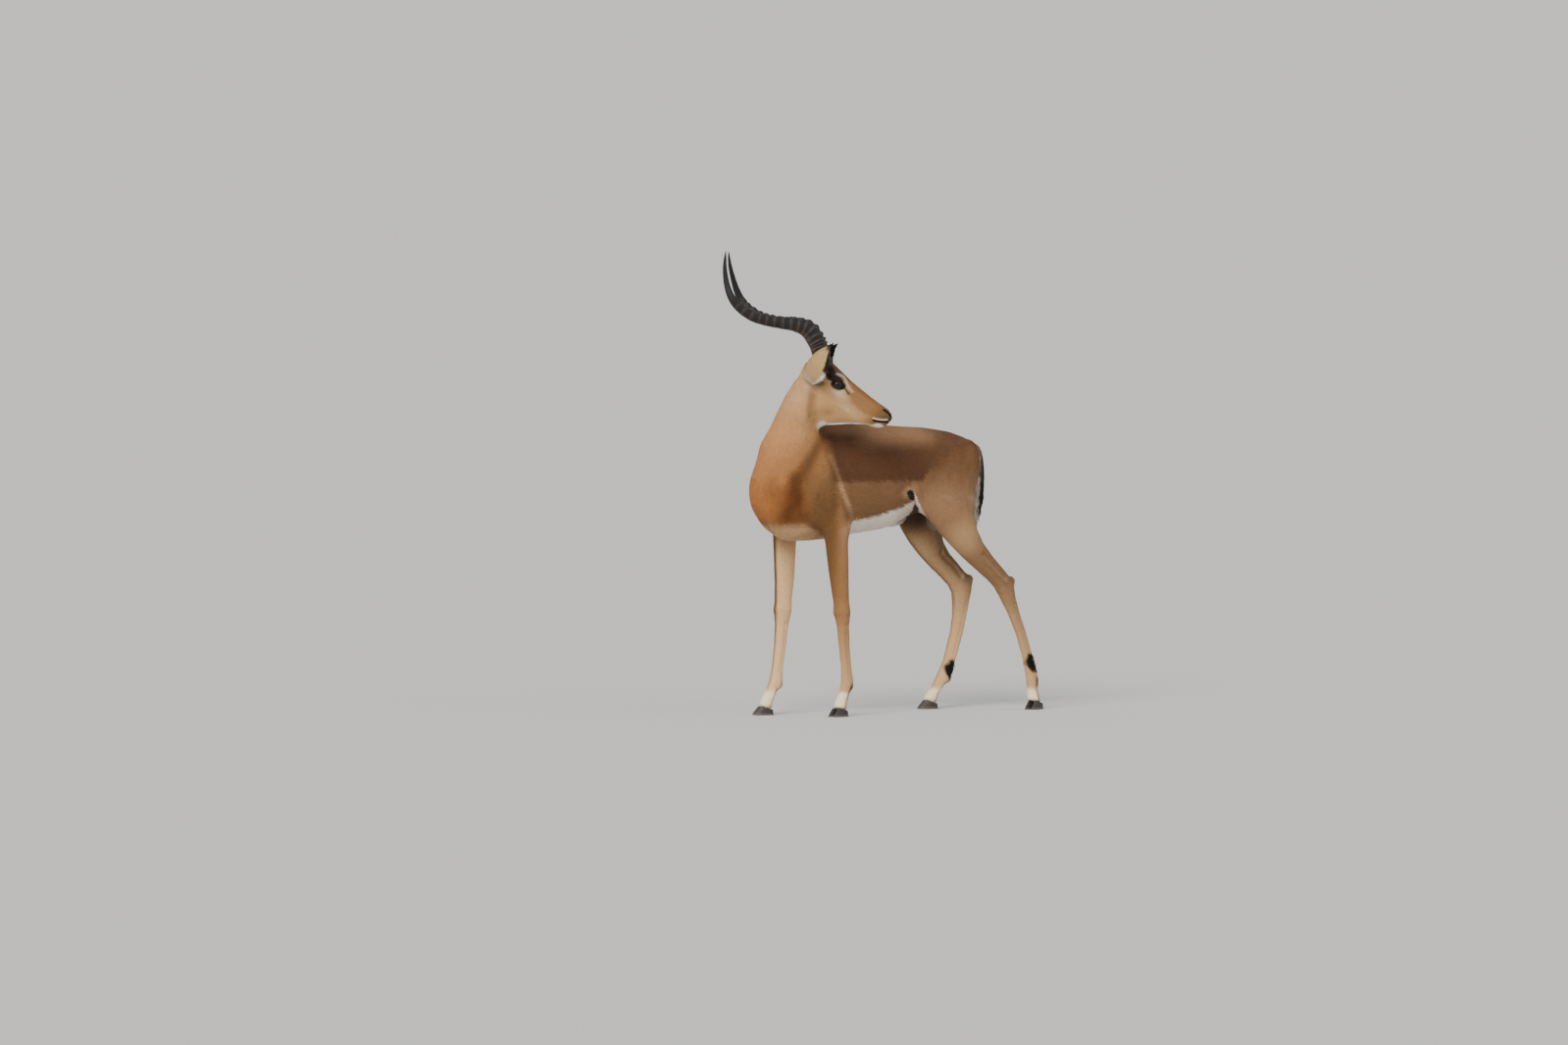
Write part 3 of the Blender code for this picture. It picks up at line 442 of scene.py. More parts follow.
# The colours of the hide and of the coat that grows from it, which are the same: dark red-brown saddle over
# tan flanks, white belly, pale inner legs, and the dark and white marks of the face, ears, rump and feet.
# Painted shade lies in the creases of the chest, behind the jaw, in the groin, in the flank fold and at the
# roots of the ears; painted light lies along the top of the back and the rear edge of the shoulder blade.
# They depend only on where a point lies on the animal.
TONES = {
    "tan": (160, 114, 71), "flank": (116, 83, 55), "neck": (190, 137, 88), "chest": (166, 107, 58),
    "saddle": (84, 54, 34), "lit back": (152, 114, 82), "shoulder": (108, 75, 43), "shade": (86, 48, 18),
    "rump": (112, 78, 50), "thigh": (148, 111, 79), "hock": (136, 103, 71), "white": (230, 220, 205),
    "brisket": (206, 165, 123), "low leg": (198, 158, 114), "inner leg": (232, 190, 140),
    "groin shade": (58, 42, 33), "pastern": (255, 234, 196), "ergot": (88, 62, 44), "coronet": (96, 80, 68),
    "black": (26, 22, 20), "cheek": (186, 142, 96), "forehead": (88, 60, 38), "bridge": (132, 90, 53),
    "eye patch": (40, 29, 24), "under eye": (190, 176, 158), "jaw": (222, 202, 172), "muzzle": (94, 72, 49),
    "streak": (140, 100, 66), "lid": (22, 18, 16), "nose": (42, 36, 34), "ear": (186, 151, 104),
    "ear rim": (104, 66, 42), "ear inside": (214, 206, 194), "ear hollow shade": (112, 92, 74),
}


def linear(tone):
    """A tone from 0 to 255, as seen on a screen, in shares of light."""
    share = np.array(tone) / 255
    return np.where(share < 0.04045, share / 12.92, ((share + 0.055) / 1.055) ** 2.4)


def from_line(places, line):
    """The distance of each place from a line of points."""
    best = np.full(len(places), 9.0)
    for first, second in zip(np.array(line)[:-1], np.array(line)[1:]):
        reach = second - first
        share = np.clip((places - first) @ reach / (reach @ reach), 0, 1)
        best = np.minimum(best, np.linalg.norm(places - first - share[:, None] * reach, axis=1))
    return best


def stripe(places, line, solid, reach):
    """1 within a distance of a line of points, and 0 beyond its reach."""
    return fade(from_line(places, line), solid, reach)


def patch(places, centre, radii, turn=0.0, soft=0.25):
    """1 inside an oval of two measures, 0 outside it."""
    out = places - np.array(centre)
    cos, sin = math.cos(turn), math.sin(turn)
    a = (out[:, 0] * cos + out[:, 1] * sin) / radii[0]
    b = (out[:, 1] * cos - out[:, 0] * sin) / radii[1]
    return fade(np.hypot(a, b), 1 - soft, 1 + soft)


def reach_of(places, marks):
    """The distance of each place from the nearest of a few marks."""
    return np.min([np.linalg.norm(places - mark, axis=1) for mark in marks], axis=0)


def wander(places, size, seed):
    """A slow, even irregularity between -1 and 1, from a few crossed waves."""
    total = np.zeros(len(places))
    for turn in range(4):
        angle = seed + turn * 2.4
        way = np.array((math.cos(angle), math.sin(angle * 1.3), math.cos(angle * 0.7 + 1)))
        total += np.sin(places @ way * (6.28 / size) * (1 + 0.37 * turn) + angle * 5)
    return total / 4


# Where the marks lie, in the animal's own measures: lines seen from the side, and heights at points along it.
GROOVE = [(-0.325, 0.859), (-0.367, 0.806), (-0.410, 0.747), (-0.446, 0.698), (-0.458, 0.640)]
CREASE = [(-0.432, 0.755), (-0.432, 0.692), (-0.438, 0.632)]
FOLD_EDGE = [(-0.412, 0.700), (-0.402, 0.640)]
BLADE_HIGHLIGHT = [(-0.292, 0.821), (-0.275, 0.765), (-0.261, 0.713), (-0.224, 0.629)]
SADDLE_EDGE = [(-0.31, 0.737), (0.03, 0.737), (0.07, 0.765), (0.133, 0.799), (0.216, 0.827), (0.32, 0.845)]
BELLY_EDGE = [
    (-0.46, 0.600), (-0.30, 0.600), (-0.22, 0.612), (-0.132, 0.6315), (-0.055, 0.651), (0.014, 0.681),
    (0.10, 0.690),
]
FLANK_FOLD = [(0.002, 0.700), (0.022, 0.671), (0.042, 0.648), (0.070, 0.616)]
UNDER_FOLD = [(-0.010, 0.600), (-0.001, 0.614), (0.006, 0.640), (0.018, 0.668)]
# The front edge of the thigh: how far back it stands at each height.
THIGH_FRONT = [(0.570, 0.100), (0.616, 0.066), (0.648, 0.038), (0.671, 0.018), (0.700, 0.000)]
# The black tufts of the hind feet: their lowest and highest points, and the height that they are measured at.
GLANDS = {"hindleg_right": (0.088, 0.154, 0.121), "hindleg_left": (0.120, 0.184, 0.152)}
GLAND_SPANS = {name: [corner[0] for corner in span(name, rows[2])] for name, rows in GLANDS.items()}
GLAND_REACH, GLAND_SLOPE = 0.0330, 0.12
BUTTOCK_LINE = 0.054  # how far the black lines of the rump stand from its middle

# Where the marks of the face lie, in the head's own measures and seen from the side.
BAND_EDGE = [
    (0.10, 0.020), (0.12, 0.0065), (0.1625, -0.0147), (0.199, -0.0250), (0.227, -0.0190), (0.260, -0.0120),
]
JAW_EDGE = [
    (0.06, -0.160), (0.075, -0.134), (0.086, -0.117), (0.114, -0.098), (0.15, -0.0795), (0.19, -0.060),
    (0.215, -0.0495), (0.26, -0.040),
]
JAW_HOLLOW_SHADE = [(0.024, -0.036), (0.042, -0.075), (0.060, -0.112)]
BROW = [
    (0.066, 0.047), (0.074, 0.0500), (0.085, 0.0505), (0.0947, 0.048), (0.105, 0.0405), (0.113, 0.0325),
    (0.122, 0.0270), (0.136, 0.0215),
]
BEHIND_EYE = [(0.084, 0.032), (0.066, 0.0335), (0.048, 0.0325)]
TO_HORN = [(0.084, 0.032), (0.060, 0.038), (0.042, 0.054)]
TEAR_LINE = [(0.108, 0.022), (0.118, 0.0165), (0.128, 0.0105)]
UPPER_LIP = [(0.230, -0.0225), (0.244, -0.0195), (0.258, -0.0145), (0.272, -0.0070)]
NOSTRIL_TOP = [(0.256, 0.0275), (0.270, 0.0262), (0.279, 0.0200)]
NOSE_PAD_TILT = 0.28


def front_margin(along):
    """The lower part of an ear's front edge, where its white hair stands."""
    return ease(along, 0.00, 0.05) * fade(along, 0.38, 0.46)


def colours_at(places, facing, part, leaf_share):
    """The coat's colour at each place, from how much each solid counts there and its own place on an ear."""
    ragged = wander(places, 0.045, 1.0) * 0.004 + wander(places, 0.017, 2.0) * 0.002
    x, y, z = (places - BODY_PLACE).T
    side, inward, backward = np.abs(y), -np.sign(y) * facing[:, 1], facing[:, 0]
    legs = part["foreleg"] + part["hindleg"]
    tone = np.tile(linear(TONES["tan"]), (len(places), 1))

    def lay(name, share):
        tone[:] += np.clip(share, 0, 1)[:, None] * (linear(TONES[name]) - tone)

    # Body
    lay("shoulder", fade(x, -0.31, -0.26))
    lay("chest", np.maximum(part["neck"] * 0.9, fade(x, -0.45, -0.36) * ease(z, 0.58, 0.64)))
    lay("neck", ease(z, 0.68, 0.92) * fade(x, -0.33, -0.27))
    lay("low leg", part["neck"] * ease(z, 0.92, 1.02) * 0.85)
    mirrored = np.column_stack([x, side, z])
    flat = mirrored[:, [0, 2]]
    on_side = ease(side, 0.030, 0.065) * (1 - 0.5 * part["neck"])
    for line, reach, strength in ((GROOVE, 0.055, 0.62), (CREASE, 0.042, 0.68), (FOLD_EDGE, 0.040, 0.74)):
        lay("shade", stripe(flat, line, 0.0, reach) * strength * on_side)
    lay("shade", patch(flat, (-0.489, 0.724), (0.022, 0.040), 0.0, 0.6) * ease(side, 0.015, 0.04) * 0.35)
    edge = read_off(SADDLE_EDGE, x) + ragged * 1.5
    behind = ease(x, 0.00, 0.13)
    lay("flank", ease(x, -0.30, -0.24) * fade(x, -0.02, 0.06) * ease(z, 0.60, 0.64))
    lay("thigh", ease(x, -0.02, 0.05) * ease(edge - z, -0.05, 0.04))
    lay("rump", ease(x, -0.02, 0.10) * ease(z, 0.66, 0.80))
    lay("hock", part["hindleg"] * fade(z, 0.54, 0.66) * ease(z, 0.36, 0.50) * 0.8)
    above = ease(z - edge + 0.02 * behind, -0.006, 0.012 + 0.06 * behind)
    lay("saddle", ease(x, -0.325 - 0.09 * ease(y, 0.0, 0.08), -0.272) * above * (1 - 0.30 * behind))
    # Painted light along the spine: the top of the back and the withers are lighter, as where light falls
    # from above.
    lay("lit back", ease(z, 0.825, 0.890) * ease(x, -0.22, -0.12) * fade(x, 0.02, 0.19) * 0.78)
    lay("lit back", ease(z, 0.872, 0.905) * ease(x, -0.31, -0.26) * fade(x, -0.22, -0.10) * 0.60)
    beneath = read_off(BELLY_EDGE, x) + ragged - z
    lay("white", ease(beneath, -0.005, 0.008) * ease(x, -0.30, -0.24) * (1 - legs))
    between_legs = fade(x, -0.30, -0.24) * fade(side, 0.070, 0.105)
    lay("brisket", ease(0.606 + ragged - z, -0.016, 0.020) * between_legs * (1 - legs))
    # Painted highlight: a lighter line along the ridge at the rear edge of the shoulder blade.
    strength = 0.16 + 0.26 * fade(np.abs(z - 0.70), 0.02, 0.06)
    lay("brisket", stripe(flat, BLADE_HIGHLIGHT, 0.001, 0.013) * ease(side, 0.05, 0.08) * strength)
    # Legs
    lay("low leg", legs * fade(z, 0.05, 0.40) * 0.92)
    lay("low leg", part["hindleg"] * fade(z, 0.26, 0.42) * 0.45)
    lay("low leg", part["hindleg"] * patch(flat, (0.190, 0.560), (0.060, 0.050), 0.6, 0.8) * 0.55)
    lay("inner leg", legs * ease(inward, 0.10, 0.70) * fade(z, 0.50, 0.62) * (0.9 - 0.45 * part["hindleg"]))
    # Painted shade on the inner rear of the hind legs, between the belly and the thighs, and between the
    # thighs seen from behind.
    inner_rear = ease(inward, 0.05, 0.50) * ease(backward, -0.45, 0.40)
    lay("groin shade", part["hindleg"] * inner_rear * ease(z, 0.30, 0.46) * 0.70)
    hind = (part["hindleg"] + part["trunk"]) * ease(x, -0.02, 0.02) * fade(x, 0.12, 0.20)
    lay("groin shade", hind * ease(inward, -0.10, 0.35) * ease(z, 0.540, 0.610) * fade(side, 0.085, 0.105) * 0.92)
    between_thighs = ease(x, 0.06, 0.10) * fade(z, 0.61, 0.66) * fade(side, 0.03, 0.07)
    lay("groin shade", part["trunk"] * between_thighs * fade(backward, 0.20, 0.70) * 0.92)
    pastern = 0.077 - 0.010 * part["hindleg"]
    lay("pastern", legs * ease(pastern + ragged - z, -0.010, 0.010) * fade(backward, -0.05, 0.45))
    lay("ergot", legs * ease(backward, 0.10, 0.55) * ease(z, 0.066, 0.080) * fade(z, 0.096, 0.112) * 0.9)
    lay("coronet", legs * ease(0.034 - z, -0.004, 0.006) * 0.4)
    for name, (low, high, _) in GLANDS.items():
        own = part["hindleg"] * (ease(y, 0.03, 0.05) if name.endswith("right") else fade(y, -0.05, -0.03))
        rear = GLAND_SPANS[name][1]
        oval = np.column_stack([x - (rear - 0.004 - GLAND_SLOPE * (z - low)), z + ragged])
        lay("black", own * patch(oval, (0.0, (low + high) / 2), (GLAND_REACH, (high - low) / 2), 0.0, 0.16))
    # Fold of the flank, thigh edge, buttocks and tail
    outer = ease(side, 0.045, 0.070)
    # Painted shade in the fold under the flank, on the left side only.
    flank_fold_shade = ease(read_off(UNDER_FOLD, x) + ragged - z, -0.006, 0.004) * ease(x, -0.012, 0.000)
    flank_fold_shade *= ease(read_off(THIGH_FRONT, z) - x, -0.002, 0.006) * ease(z, 0.54, 0.58)
    lay("groin shade", flank_fold_shade * fade(y, -0.03, 0.0))
    lay("brisket", patch(flat, (-0.022, 0.706), (0.026, 0.017), 0.4, 0.7) * outer * 0.45)
    outer *= fade(inward, -0.15, 0.25)
    edging = stripe(flat + ragged[:, None] * 0.1, FLANK_FOLD, 0.0010, 0.0050)
    lay("white", edging * outer * ease(z, 0.60, 0.66) * 0.8)
    lay("black", patch(flat + ragged[:, None] * 0.5, (-0.014, 0.695), (0.0230, 0.0140), -0.62, 0.18) * outer)
    rear = ease(x, 0.16, 0.22) * ease(z, 0.61, 0.65) * (1 - part["tail"])
    rear *= ease(backward, 0.20, 0.45)
    lay("white", rear * fade(side - ragged, 0.044, 0.050) * fade(z, 0.795, 0.825))
    lay("black", rear * fade(np.abs(side + ragged - BUTTOCK_LINE), 0.0065, 0.0095) * fade(z, 0.775, 0.815))
    lay("white", ease(part["tail"], 0.45, 0.80) * 0.75)
    lay("rump", part["tail"] * ease(z, 0.770, 0.815))
    along_tail = ease(z, 0.625, 0.655) * fade(z, 0.790, 0.835)
    lay("black", part["tail"] * ease(backward, -0.75, -0.35) * along_tail)
    # Head
    h = moved(places, FROM_HEAD)
    hx, ha, hz = h[:, 0], np.abs(h[:, 1]), h[:, 2]
    up = facing @ np.array(HEAD)[:3, 2]
    wobble = ragged * 0.5
    only, socket, on_cheek = part["head"], ease(ha, 0.022, 0.034), ease(ha, 0.03, 0.04)
    flat = h[:, [0, 2]]
    uneven = flat + wobble[:, None]
    lay("cheek", only)
    lay("inner leg", only * fade(hx, -0.005, 0.040) * fade(hz, -0.03, 0.0) * 0.35)
    lay("bridge", only * ease(hx, 0.19, 0.24))
    lay("forehead", only * ease(hz + wobble, 0.030, 0.050) * fade(hx, 0.12, 0.16) * 0.9)
    lay("bridge", only * ease(up, 0.20, 0.70) * ease(hx, 0.10, 0.15) * fade(hx, 0.215, 0.245))
    lay("forehead", only * ease(up, 0.6, 0.95) * ease(hx, 0.10, 0.14) * fade(hx, 0.18, 0.225) * 0.6)
    over_band = hz - read_off(BAND_EDGE, hx) + wobble * 2
    lay("bridge", only * ease(over_band, -0.009, 0.009) * ease(hx, 0.108, 0.135) * 0.75)
    lay("muzzle", only * ease(hx, 0.222, 0.262) * ease(hz, -0.024, -0.006) * 0.9)
    lay("jaw", only * patch(flat, (0.135, -0.026), (0.052, 0.012), -0.42, 0.8) * 0.20)
    lay("under eye", only * patch(flat, (0.010, -0.030), (0.024, 0.012), 0.2, 0.8) * on_cheek * 0.45)
    # Painted shade on the head between the ear's root and the eye.
    lay("ear hollow shade", only * patch(flat, (0.032, 0.000), (0.018, 0.011), 0.3, 0.4) * on_cheek * 0.9)
    lay("black", only * ease(hz, 0.060, 0.068) * fade(hx, 0.0, 0.03) * 0.8)
    # Painted shade down the hollow behind the jaw.
    lay("streak", only * stripe(flat, JAW_HOLLOW_SHADE, 0.002, 0.026) * 0.70)
    lay("jaw", only * ease(read_off(JAW_EDGE, hx) + wobble * 0.6 - hz, -0.005, 0.003) * 0.88)
    throat = (only + part["neck"]) * ease(hx, 0.070, 0.086) * fade(ha, 0.050, 0.070)
    lay("white", throat * patch(flat, (0.103, -0.1215), (0.016, 0.019), 0.3, 0.35))
    lay("under eye", only * patch(uneven, (0.099, 0.002), (0.023, 0.012), -0.35, 0.70) * socket * 0.75)
    lay("under eye", only * stripe(flat + wobble[:, None] * 0.5, BROW, 0.0006, 0.0066) * 0.80)
    lay("eye patch", only * stripe(uneven, BEHIND_EYE, 0.0085, 0.0155) * socket)
    lay("eye patch", only * stripe(uneven, TO_HORN, 0.0080, 0.0145) * ease(ha, 0.022, 0.032) * 0.95)
    lay("lid", only * patch(flat, (0.0875, 0.0205), (0.0245, 0.0148), LID_TILT, 0.16) * socket)
    lay("lid", only * stripe(flat, TEAR_LINE, 0.0010, 0.0042) * socket * 0.9)
    lay("white", only * stripe(flat, UPPER_LIP, 0.0008, 0.0032) * 0.65)
    lay("white", only * patch(flat, (0.256, -0.0435), (0.020, 0.0125), 0.5, 0.3) * 0.9)
    lay("white", only * stripe(flat, NOSTRIL_TOP, 0.0015, 0.0045) * 0.55)
    lay("nose", only * ease(hx - NOSE_PAD_TILT * hz, 0.2735, 0.2770) * ease(hz, -0.008, -0.003))
    lay("black", only * fade(reach_of(places, nostril_marks), 0.0042, 0.0060))
    lay("black", only * fade(reach_of(places, mouth_marks), 0.0036, 0.0050))
    # Ears
    along, over, open_side = leaf_share.T
    ears = part["ear"]
    lay("ear", ears)
    lay("ear inside", ears * open_side * fade(along, 0.70, 0.90))
    lay("cheek", ears * fade(along, 0.10, 0.22) * 0.6)
    # Painted shade in the lower middle of the ear's hollow.
    lay("ear hollow shade", ears * open_side * fade(along, 0.20, 0.45) * fade(np.abs(over), 0.2, 0.5) * 0.7)
    lay("ear rim", ears * ease(np.abs(over), 0.84, 0.96))
    near_tip = along + 0.06 * wander(places, 0.03, 3.0)
    lay("under eye", ears * (1 - open_side) * fade(along, 0.08, 0.20) * 0.6)
    lay("black", ears * ease(near_tip, 0.77, 0.88))
    lay("black", ears * open_side * ease(near_tip, 0.50, 0.66))
    lay("black", ears * ease(near_tip, 0.36, 0.48) * ease(over, 0.74, 0.88))
    lay("white", ears * ease(over, 0.80, 0.90) * front_margin(along))
    return np.clip(tone, 0, 1)


GROUPS = ["head", "neck", "trunk", "tail", "foreleg", "hindleg", "ear"]
HEAD_COLUMN, EAR_COLUMN = GROUPS.index("head"), GROUPS.index("ear")
CRISP_ROUNDS, SOFT_ROUNDS = 4, 36  # how far the solids' shares run into each other


def parted(mesh, places):
    """How much of each solid's hide is at each vertex, and the ear's own measures there."""
    corners, faces, owner = [], [], []
    for name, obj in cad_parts.items():
        group = name.split("_")[0]
        if group not in GROUPS:
            continue
        base = len(corners)
        corners += [vert.co.copy() for vert in obj.data.vertices]
        faces += [[base + i for i in face.vertices] for face in obj.data.polygons]
        owner += [GROUPS.index(group)] * len(obj.data.polygons)
    solids = BVHTree.FromPolygons(corners, faces)
    shares = np.zeros((len(places), len(GROUPS)))
    leaf = np.zeros((len(places), 3))
    leaf[:, 0] = -0.2  # off the ear
    for index, place in enumerate(places.tolist()):
        group = owner[solids.find_nearest(place)[2]]
        shares[index, group] = 1
        if group == EAR_COLUMN:
            side, along, over = leaf_places[leaves.find(place)[1]]
            leaf[index, :2] = along, over * side
    return Web(mesh).eased(shares, CRISP_ROUNDS), leaf


hide_places = array_of(hide_mesh)
hide_facing = array_of(hide_mesh, "vertex_normals", "vector")
hide_head = moved(hide_places, FROM_HEAD)
shares, leaf_at = parted(hide_mesh, hide_places)
soft_shares = Web(hide_mesh).eased(shares, SOFT_ROUNDS)
# The ears stay crisp against the head.
off_ear, columns = shares[:, EAR_COLUMN] < 0.01, [HEAD_COLUMN, EAR_COLUMN]
soft_shares[:, columns] = shares[:, columns] + (soft_shares - shares)[:, columns] * off_ear[:, None]
for side in SIDES.values():
    open_way = np.array(ear_frame(side))[:3, 0]
    own = (leaf_at[:, 0] >= 0) & (np.sign(hide_head[:, 1]) == side)
    leaf_at[own, 2] = ease(hide_facing[own] @ open_way, -0.15, 0.25)
parts = dict(zip(GROUPS, soft_shares.T))
hide_colours = colours_at(hide_places, hide_facing, parts, leaf_at)


def tint(mesh, name, colours):
    """Gives every vertex of the mesh its own colour."""
    layer = mesh.color_attributes.new(name, "FLOAT_COLOR", "POINT")
    layer.data.foreach_set("color", np.column_stack([colours, np.ones(len(colours))]).ravel())


tint(hide_mesh, "coat_colour", hide_colours)


def effect(name, inputs, outputs):
    """An empty group of nodes with the named inputs and outputs."""
    group = bpy.data.node_groups.new(name, "ShaderNodeTree")
    for label, kind, value in inputs:
        socket = group.interface.new_socket(label, in_out="INPUT", socket_type="NodeSocket" + kind)
        if value is not None:
            socket.default_value = value
    for label, kind in outputs:
        group.interface.new_socket(label, in_out="OUTPUT", socket_type="NodeSocket" + kind)
    return group, group.nodes.new("NodeGroupInput"), group.nodes.new("NodeGroupOutput")


def fed(tree, made, inputs):
    """A node after its inputs are linked or set."""
    for key, value in inputs.items():
        if isinstance(value, bpy.types.NodeSocket):
            tree.links.new(value, made.inputs[key])
        else:
            made.inputs[key].default_value = value
    return made


def node(tree, kind, inputs=None, **settings):
    """A new node with its settings and its inputs."""
    made = tree.nodes.new("ShaderNode" + kind)
    for key, value in settings.items():
        setattr(made, key, value)
    return fed(tree, made, inputs or {})


def fused(tree, value, gain, offset):
    """The output of a node that gives value times gain plus offset."""
    return node(tree, "Math", {0: value, 1: gain, 2: offset}, operation="MULTIPLY_ADD").outputs[0]


# Hair varies from one to the next: a fine speckle of lighter and darker hairs, over slow patches.
hair_group, got, given = effect(
    "hair_variation",
    [("Colour", "Color", (0.5, 0.3, 0.1, 1)), ("Size", "Float", 400.0), ("Strength", "Float", 0.25)],
    [("Colour", "Color"), ("Height", "Float")],
)
at = node(hair_group, "TexCoord").outputs["Object"]
grain = node(hair_group, "TexNoise", {"Vector": at, "Scale": got.outputs["Size"], "Detail": 3.0})
patches = node(hair_group, "TexNoise", {"Vector": at, "Scale": 28.0, "Detail": 2.0})
spread = node(hair_group, "Math", {0: grain.outputs["Fac"], 1: 0.5}, operation="SUBTRACT")
slow = node(hair_group, "Math", {0: patches.outputs["Fac"], 1: 0.5}, operation="SUBTRACT")
both = fused(hair_group, slow.outputs[0], 0.35, spread.outputs[0])
gain = fused(hair_group, both, got.outputs["Strength"], 1.0)
lit = node(hair_group, "VectorMath", {0: got.outputs["Colour"], "Scale": gain}, operation="SCALE")
fed(hair_group, given, {"Colour": lit.outputs[0], "Height": grain.outputs["Fac"]})


def finish_of(name, roughness, **settings):
    """A new material, its nodes and its shader."""
    made = bpy.data.materials.new(name)
    made.use_nodes = True
    tree = made.node_tree
    inputs = {key.replace("_", " "): value for key, value in settings.items()}
    return made, tree, fed(tree, tree.nodes["Principled BSDF"], {"Roughness": roughness, **inputs})


def hairy(name, size, strength, bump):
    """Hide or coat: the animal's own colour, varied from hair to hair."""
    sheen = {"Sheen_Weight": 0.04, "Sheen_Roughness": 0.5}
    made, tree, shader = finish_of(name, 0.82, Specular_IOR_Level=0.17, **sheen)
    colour = node(tree, "Attribute", attribute_name="coat_colour").outputs["Color"]
    variation = {"Colour": colour, "Size": size, "Strength": strength}
    varied = node(tree, "Group", variation, node_tree=hair_group)
    raised = node(tree, "Bump", {"Height": varied.outputs["Height"], "Strength": bump, "Distance": 0.0006})
    fed(tree, shader, {"Base Color": varied.outputs["Colour"], "Normal": raised.outputs["Normal"]})
    return made


hide_mesh.materials.clear()
hide_mesh.materials.append(hairy("hide_finish", 620.0, 0.35, 0.5))
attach(hide, "root")
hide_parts(*FLESH, "ear_left", "ear_right")

# The coat. Short sleek hair that lies flat from the muzzle back over the head, down the neck and legs, and
# rearwards along the trunk. Each tuft is a flat tapering lock set in the hide, a few millimetres long on the
# face and feet and longer on the body, the belly, the tail and in the ears.
LIE_HEAD, LIE_NECK, LIE_TRUNK = (-1.0, 0.0, -0.10), (0.16, 0.05, -1.0), (1.0, 0.0, -0.28)
LIE_LEG, LIE_TAIL = (0.06, 0.0, -1.0), (0.05, 0.0, -1.0)
# Tufts to a square metre, the length and width of one, and how steeply it leaves the skin.
LOCKS = {
    "head": (250000, 0.0052, 0.00130, 0.11),
    "neck": (64000, 0.0130, 0.0027, 0.075),
    "trunk": (58000, 0.0135, 0.0028, 0.075),
    "tail": (150000, 0.0280, 0.0026, 0.16),
    "foreleg": (92000, 0.0086, 0.0020, 0.10),
    "hindleg": (74000, 0.0098, 0.0023, 0.10),
    "ear": (170000, 0.0062, 0.0014, 0.12),
}
THICKNESS_SHARE = 0.20  # of a lock's width
SUNK = 0.00012  # how deep a root is set
ROUNDED = 0.9  # how far a lock's sheen turns over its sides
SCATTER, SHORTEST, LONGEST = 0.08, 0.75, 1.2  # how unlike its neighbours a lock is in its way and its length
FLATTEST, STEEPEST, SHADE_SPREAD = 0.6, 1.4, 0.065
ROOT_SHADE, TIP_GAIN = 0.86, 0.20  # a lock is darker at its root
PATCH = 0.003  # size of a lock's own place on the coat's map
FLOOR_GAP = 0.003
rng = np.random.default_rng(7)

head_way = np.array(HEAD)[:3, :3]
ear_ways = {side: np.array(ear_frame(side))[:3, :3] for side in SIDES.values()}
own_side = np.where(hide_head[:, 1] > 0, 1, -1)
lie = shares @ np.array([head_way @ LIE_HEAD, LIE_NECK, LIE_TRUNK, LIE_TAIL, LIE_LEG, LIE_LEG, (0, 0, 0)])
lie += (fade(hide_facing[:, 0], -0.85, -0.35) * parts["trunk"])[:, None] * np.array((-0.9, 0.0, -1.2))
lie += (parts["hindleg"] * ease(hide_places[:, 2], 0.52, 0.70))[:, None] * np.array((0.9, 0.0, 0.35))
for side in SIDES.values():
    lie += (parts["ear"] * (own_side == side))[:, None] * ear_ways[side][:, 2]
web = Web(hide_mesh)
lie = web.eased(lie, 24)
lie -= np.sum(lie * hide_facing, axis=1, keepdims=True) * hide_facing
lie /= np.maximum(np.linalg.norm(lie, axis=1, keepdims=True), 1e-6)


def faces_of(mesh):
    """The three corners of every face."""
    return np.array([tuple(face.vertices) for face in mesh.polygons])


def lock():
    """One tuft: a three-sided spike along X from 0 to 1, about 1 across in Z, with its height in Y."""
    bm = bmesh.new()
    length = 0.45  # of the part that widens, before the point
    turned = Matrix.Translation((length / 2, 0, 0)) @ Matrix.Rotation(math.pi / 2, 4, "Y")
    base = {"radius1": 0.42, "radius2": 0.56, "depth": length, "matrix": turned}
    bmesh.ops.create_cone(bm, cap_ends=True, segments=3, **base)
    end = max(bm.faces, key=lambda face: face.calc_center_median().x)
    bmesh.ops.poke(bm, faces=[end])["verts"][0].co = (1, 0, 0)
    bmesh.ops.triangulate(bm, faces=bm.faces)
    bm.normal_update()
    bmesh.ops.recalc_face_normals(bm, faces=bm.faces)
    mesh = mesh_of(bm, "lock")
    return array_of(mesh), faces_of(mesh)


LOCK_POINTS, LOCK_FACES = lock()


def rooted(faces, density):
    """Evenly spread roots over some of the hide's triangles: each root's triangle and its place in it."""
    corners = hide_faces[faces]
    a, b, c = (hide_places[corners[:, i]] for i in range(3))
    wanted = np.linalg.norm(np.cross(b - a, c - a), axis=1) / 2 * density[faces]
    total = np.cumsum(wanted)
    even = np.arange(0.5, total[-1])
    marks = even + rng.uniform(-0.35, 0.35, int(total[-1] - 0.5) + 1)[: len(even)]
    found = np.minimum(np.searchsorted(total, np.clip(marks, 0, total[-1] - 1e-9)), len(faces) - 1)
    u, v = rng.random(len(found)), rng.random(len(found))
    flip = u + v > 1
    u, v = np.where(flip, 1 - u, u), np.where(flip, 1 - v, v)
    return corners[found], np.column_stack([1 - u - v, u, v])


